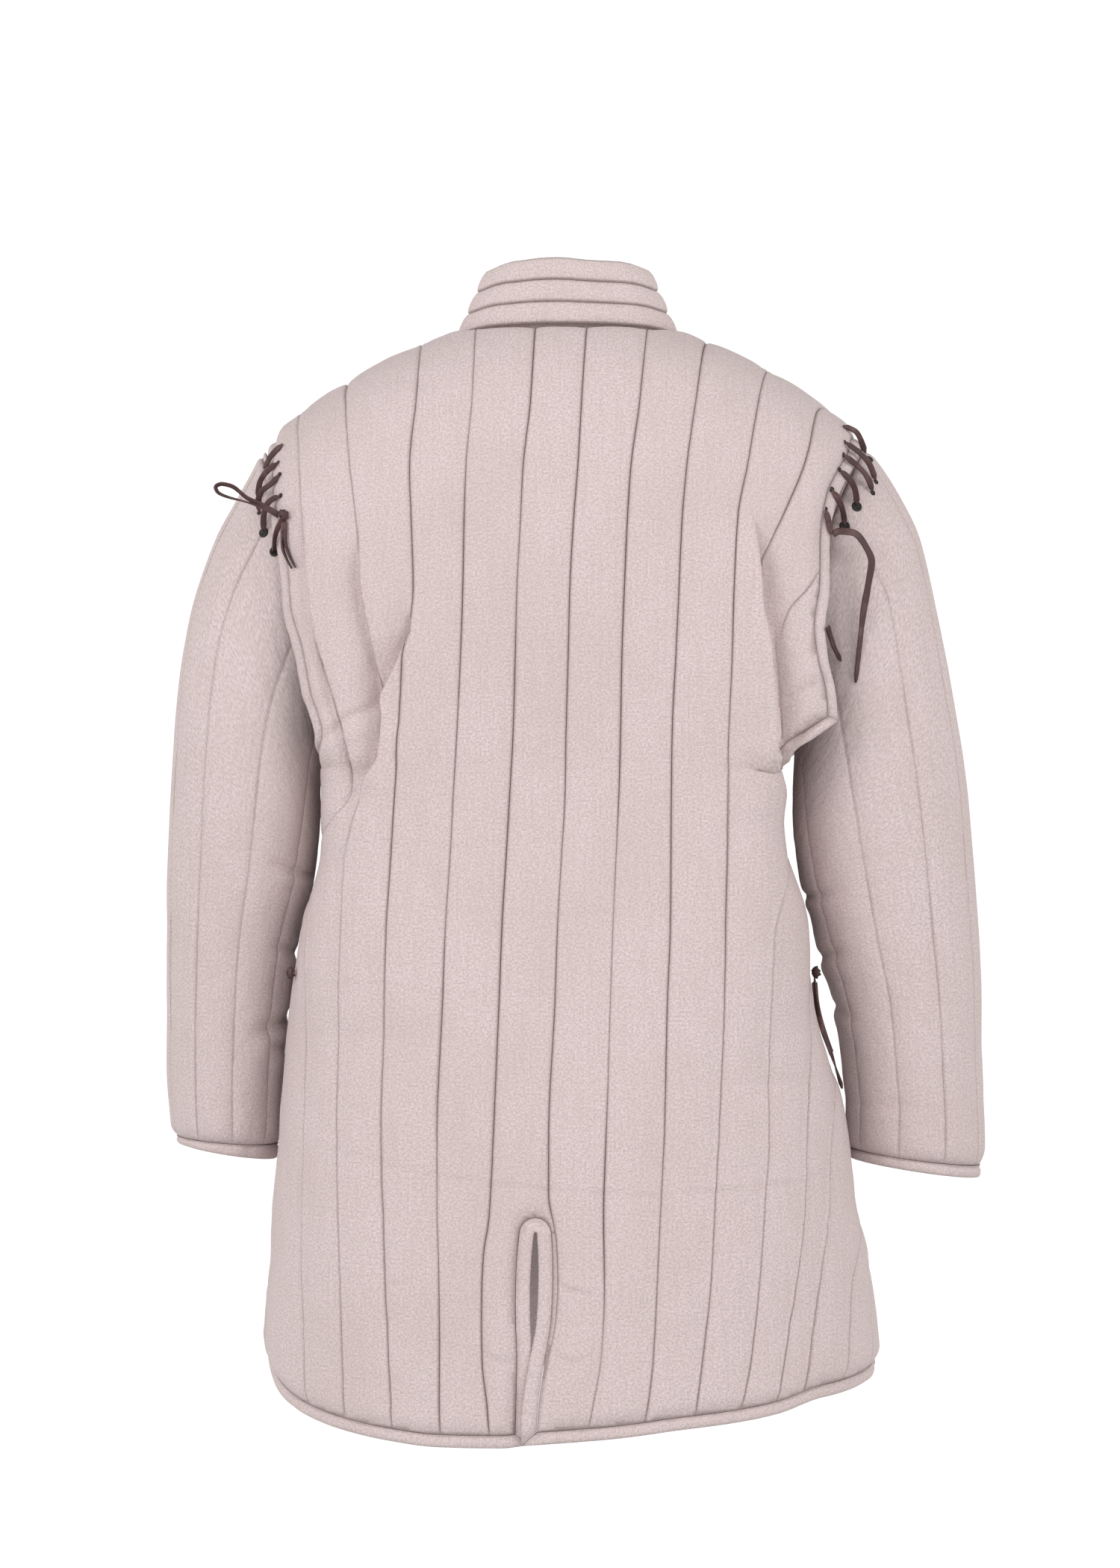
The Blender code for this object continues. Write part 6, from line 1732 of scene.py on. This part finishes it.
@cache
def leather():
    """Dark reddish brown leather lace, dull, worn lighter in patches."""
    n = Nodes("leather")
    place = n.add("ShaderNodeTexCoord").outputs["Object"]
    patches = n.between(n.noise(place, 60.0, 4.0, 0.6), 0.45, 0.75)
    grain = n.noise(place, 700.0, 4.0, 0.6)
    tone = n.mixed(patches, LEATHER, LEATHER_WORN)
    tone = n.mixed(n.maths("MULTIPLY", n.between(grain, 0.5, 0.75), 0.4), tone, LEATHER_WORN)
    n.set(n.shader, "Base Color", tone)
    n.set(n.shader, "Roughness", n.maths("MULTIPLY_ADD", grain, 0.25, 0.42))
    bump = n.add("ShaderNodeBump", Strength=0.6, Distance=0.0004, Height=grain)
    n.set(n.shader, "Normal", bump.outputs[0])
    return n.material


# Black eyelet rings, and painted shade on the discs in their holes
@cache
def eyelet_black():
    n = Nodes("eyelet_black")
    place = n.add("ShaderNodeTexCoord").outputs["Object"]
    scuffs = n.noise(place, 900.0, 3.0)
    n.set(n.shader, "Base Color", n.mixed(scuffs, EYELET_BLACK, EYELET_SCUFFED))
    n.set(n.shader, "Roughness", n.maths("ADD", n.maths("MULTIPLY", scuffs, 0.3), 0.4))
    return n.material


def lit():
    """The camera, an even white studio and three soft lights."""
    scene = bpy.context.scene
    camera = bpy.data.cameras.new("camera")
    camera.lens = CAMERA_LENS
    camera.sensor_fit = "VERTICAL"
    camera.sensor_height = SENSOR
    holder = bpy.data.objects.new("camera", camera)
    holder.location = CAMERA_PLACE
    holder.rotation_euler = (np.pi / 2, 0.0, np.pi)
    scene.collection.objects.link(holder)
    scene.camera = holder
    world = bpy.data.worlds.new("studio")
    world.use_nodes = True
    tree = world.node_tree
    place = tree.nodes.new("ShaderNodeTexCoord")
    apart = tree.nodes.new("ShaderNodeSeparateXYZ")
    fade = tree.nodes.new("ShaderNodeMapRange")
    fade.interpolation_type = "SMOOTHSTEP"
    steep = tree.nodes.new("ShaderNodeMath")
    steep.operation = "ABSOLUTE"
    tree.links.new(place.outputs["Generated"], apart.inputs[0])
    tree.links.new(apart.outputs["Z"], steep.inputs[0])
    tree.links.new(steep.outputs[0], fade.inputs[0])
    for index, value in enumerate((*WORLD_FADE, WORLD_STRENGTH, WORLD_OVERHEAD), 1):
        fade.inputs[index].default_value = value
    tree.nodes["Background"].inputs["Color"].default_value = (1.0, 1.0, 1.0, 1.0)
    tree.links.new(fade.outputs[0], tree.nodes["Background"].inputs["Strength"])
    scene.world = world
    scene.view_settings.view_transform = "Standard"
    for number, (place, size, power) in enumerate(LIGHTS):
        light = bpy.data.lights.new(f"soft_{number}", "AREA")
        light.size = size
        light.energy = power
        lamp = bpy.data.objects.new(f"soft_{number}", light)
        lamp.location = place
        aim = Vector(LIGHT_AIM) - Vector(place)
        lamp.rotation_euler = aim.to_track_quat("-Z", "Y").to_euler()
        scene.collection.objects.link(lamp)


def main():
    lit()
    back, front = Body(BACK), Body(FRONT)
    walls = [
        bound_panel("back", back, back_outline(back, SPACING), back_lines, 11),
        bound_panel("front", front, front_outline(front, SPACING), front_lines, 31),
        collar(back, front),
    ]
    right = Sleeve(-1, SLEEVE_RIGHT, SLEEVE_LINE_RIGHT, HEAD_HUG_RIGHT, SLEEVE_CREASES_RIGHT, 101)
    left = Sleeve(1, SLEEVE_LEFT, SLEEVE_LINE_LEFT, HEAD_HUG_LEFT, SLEEVE_CREASES_LEFT, 121)
    walls += [sleeve("sleeve_right", right), sleeve("sleeve_left", left)]
    bindings = [thing for thing in bpy.data.objects if thing.name.endswith("_binding_cloth")]
    lace_all(Cloth(walls + bindings), back, front)
    stitch_rows("edge_stitches", STITCHES, thread())


main()
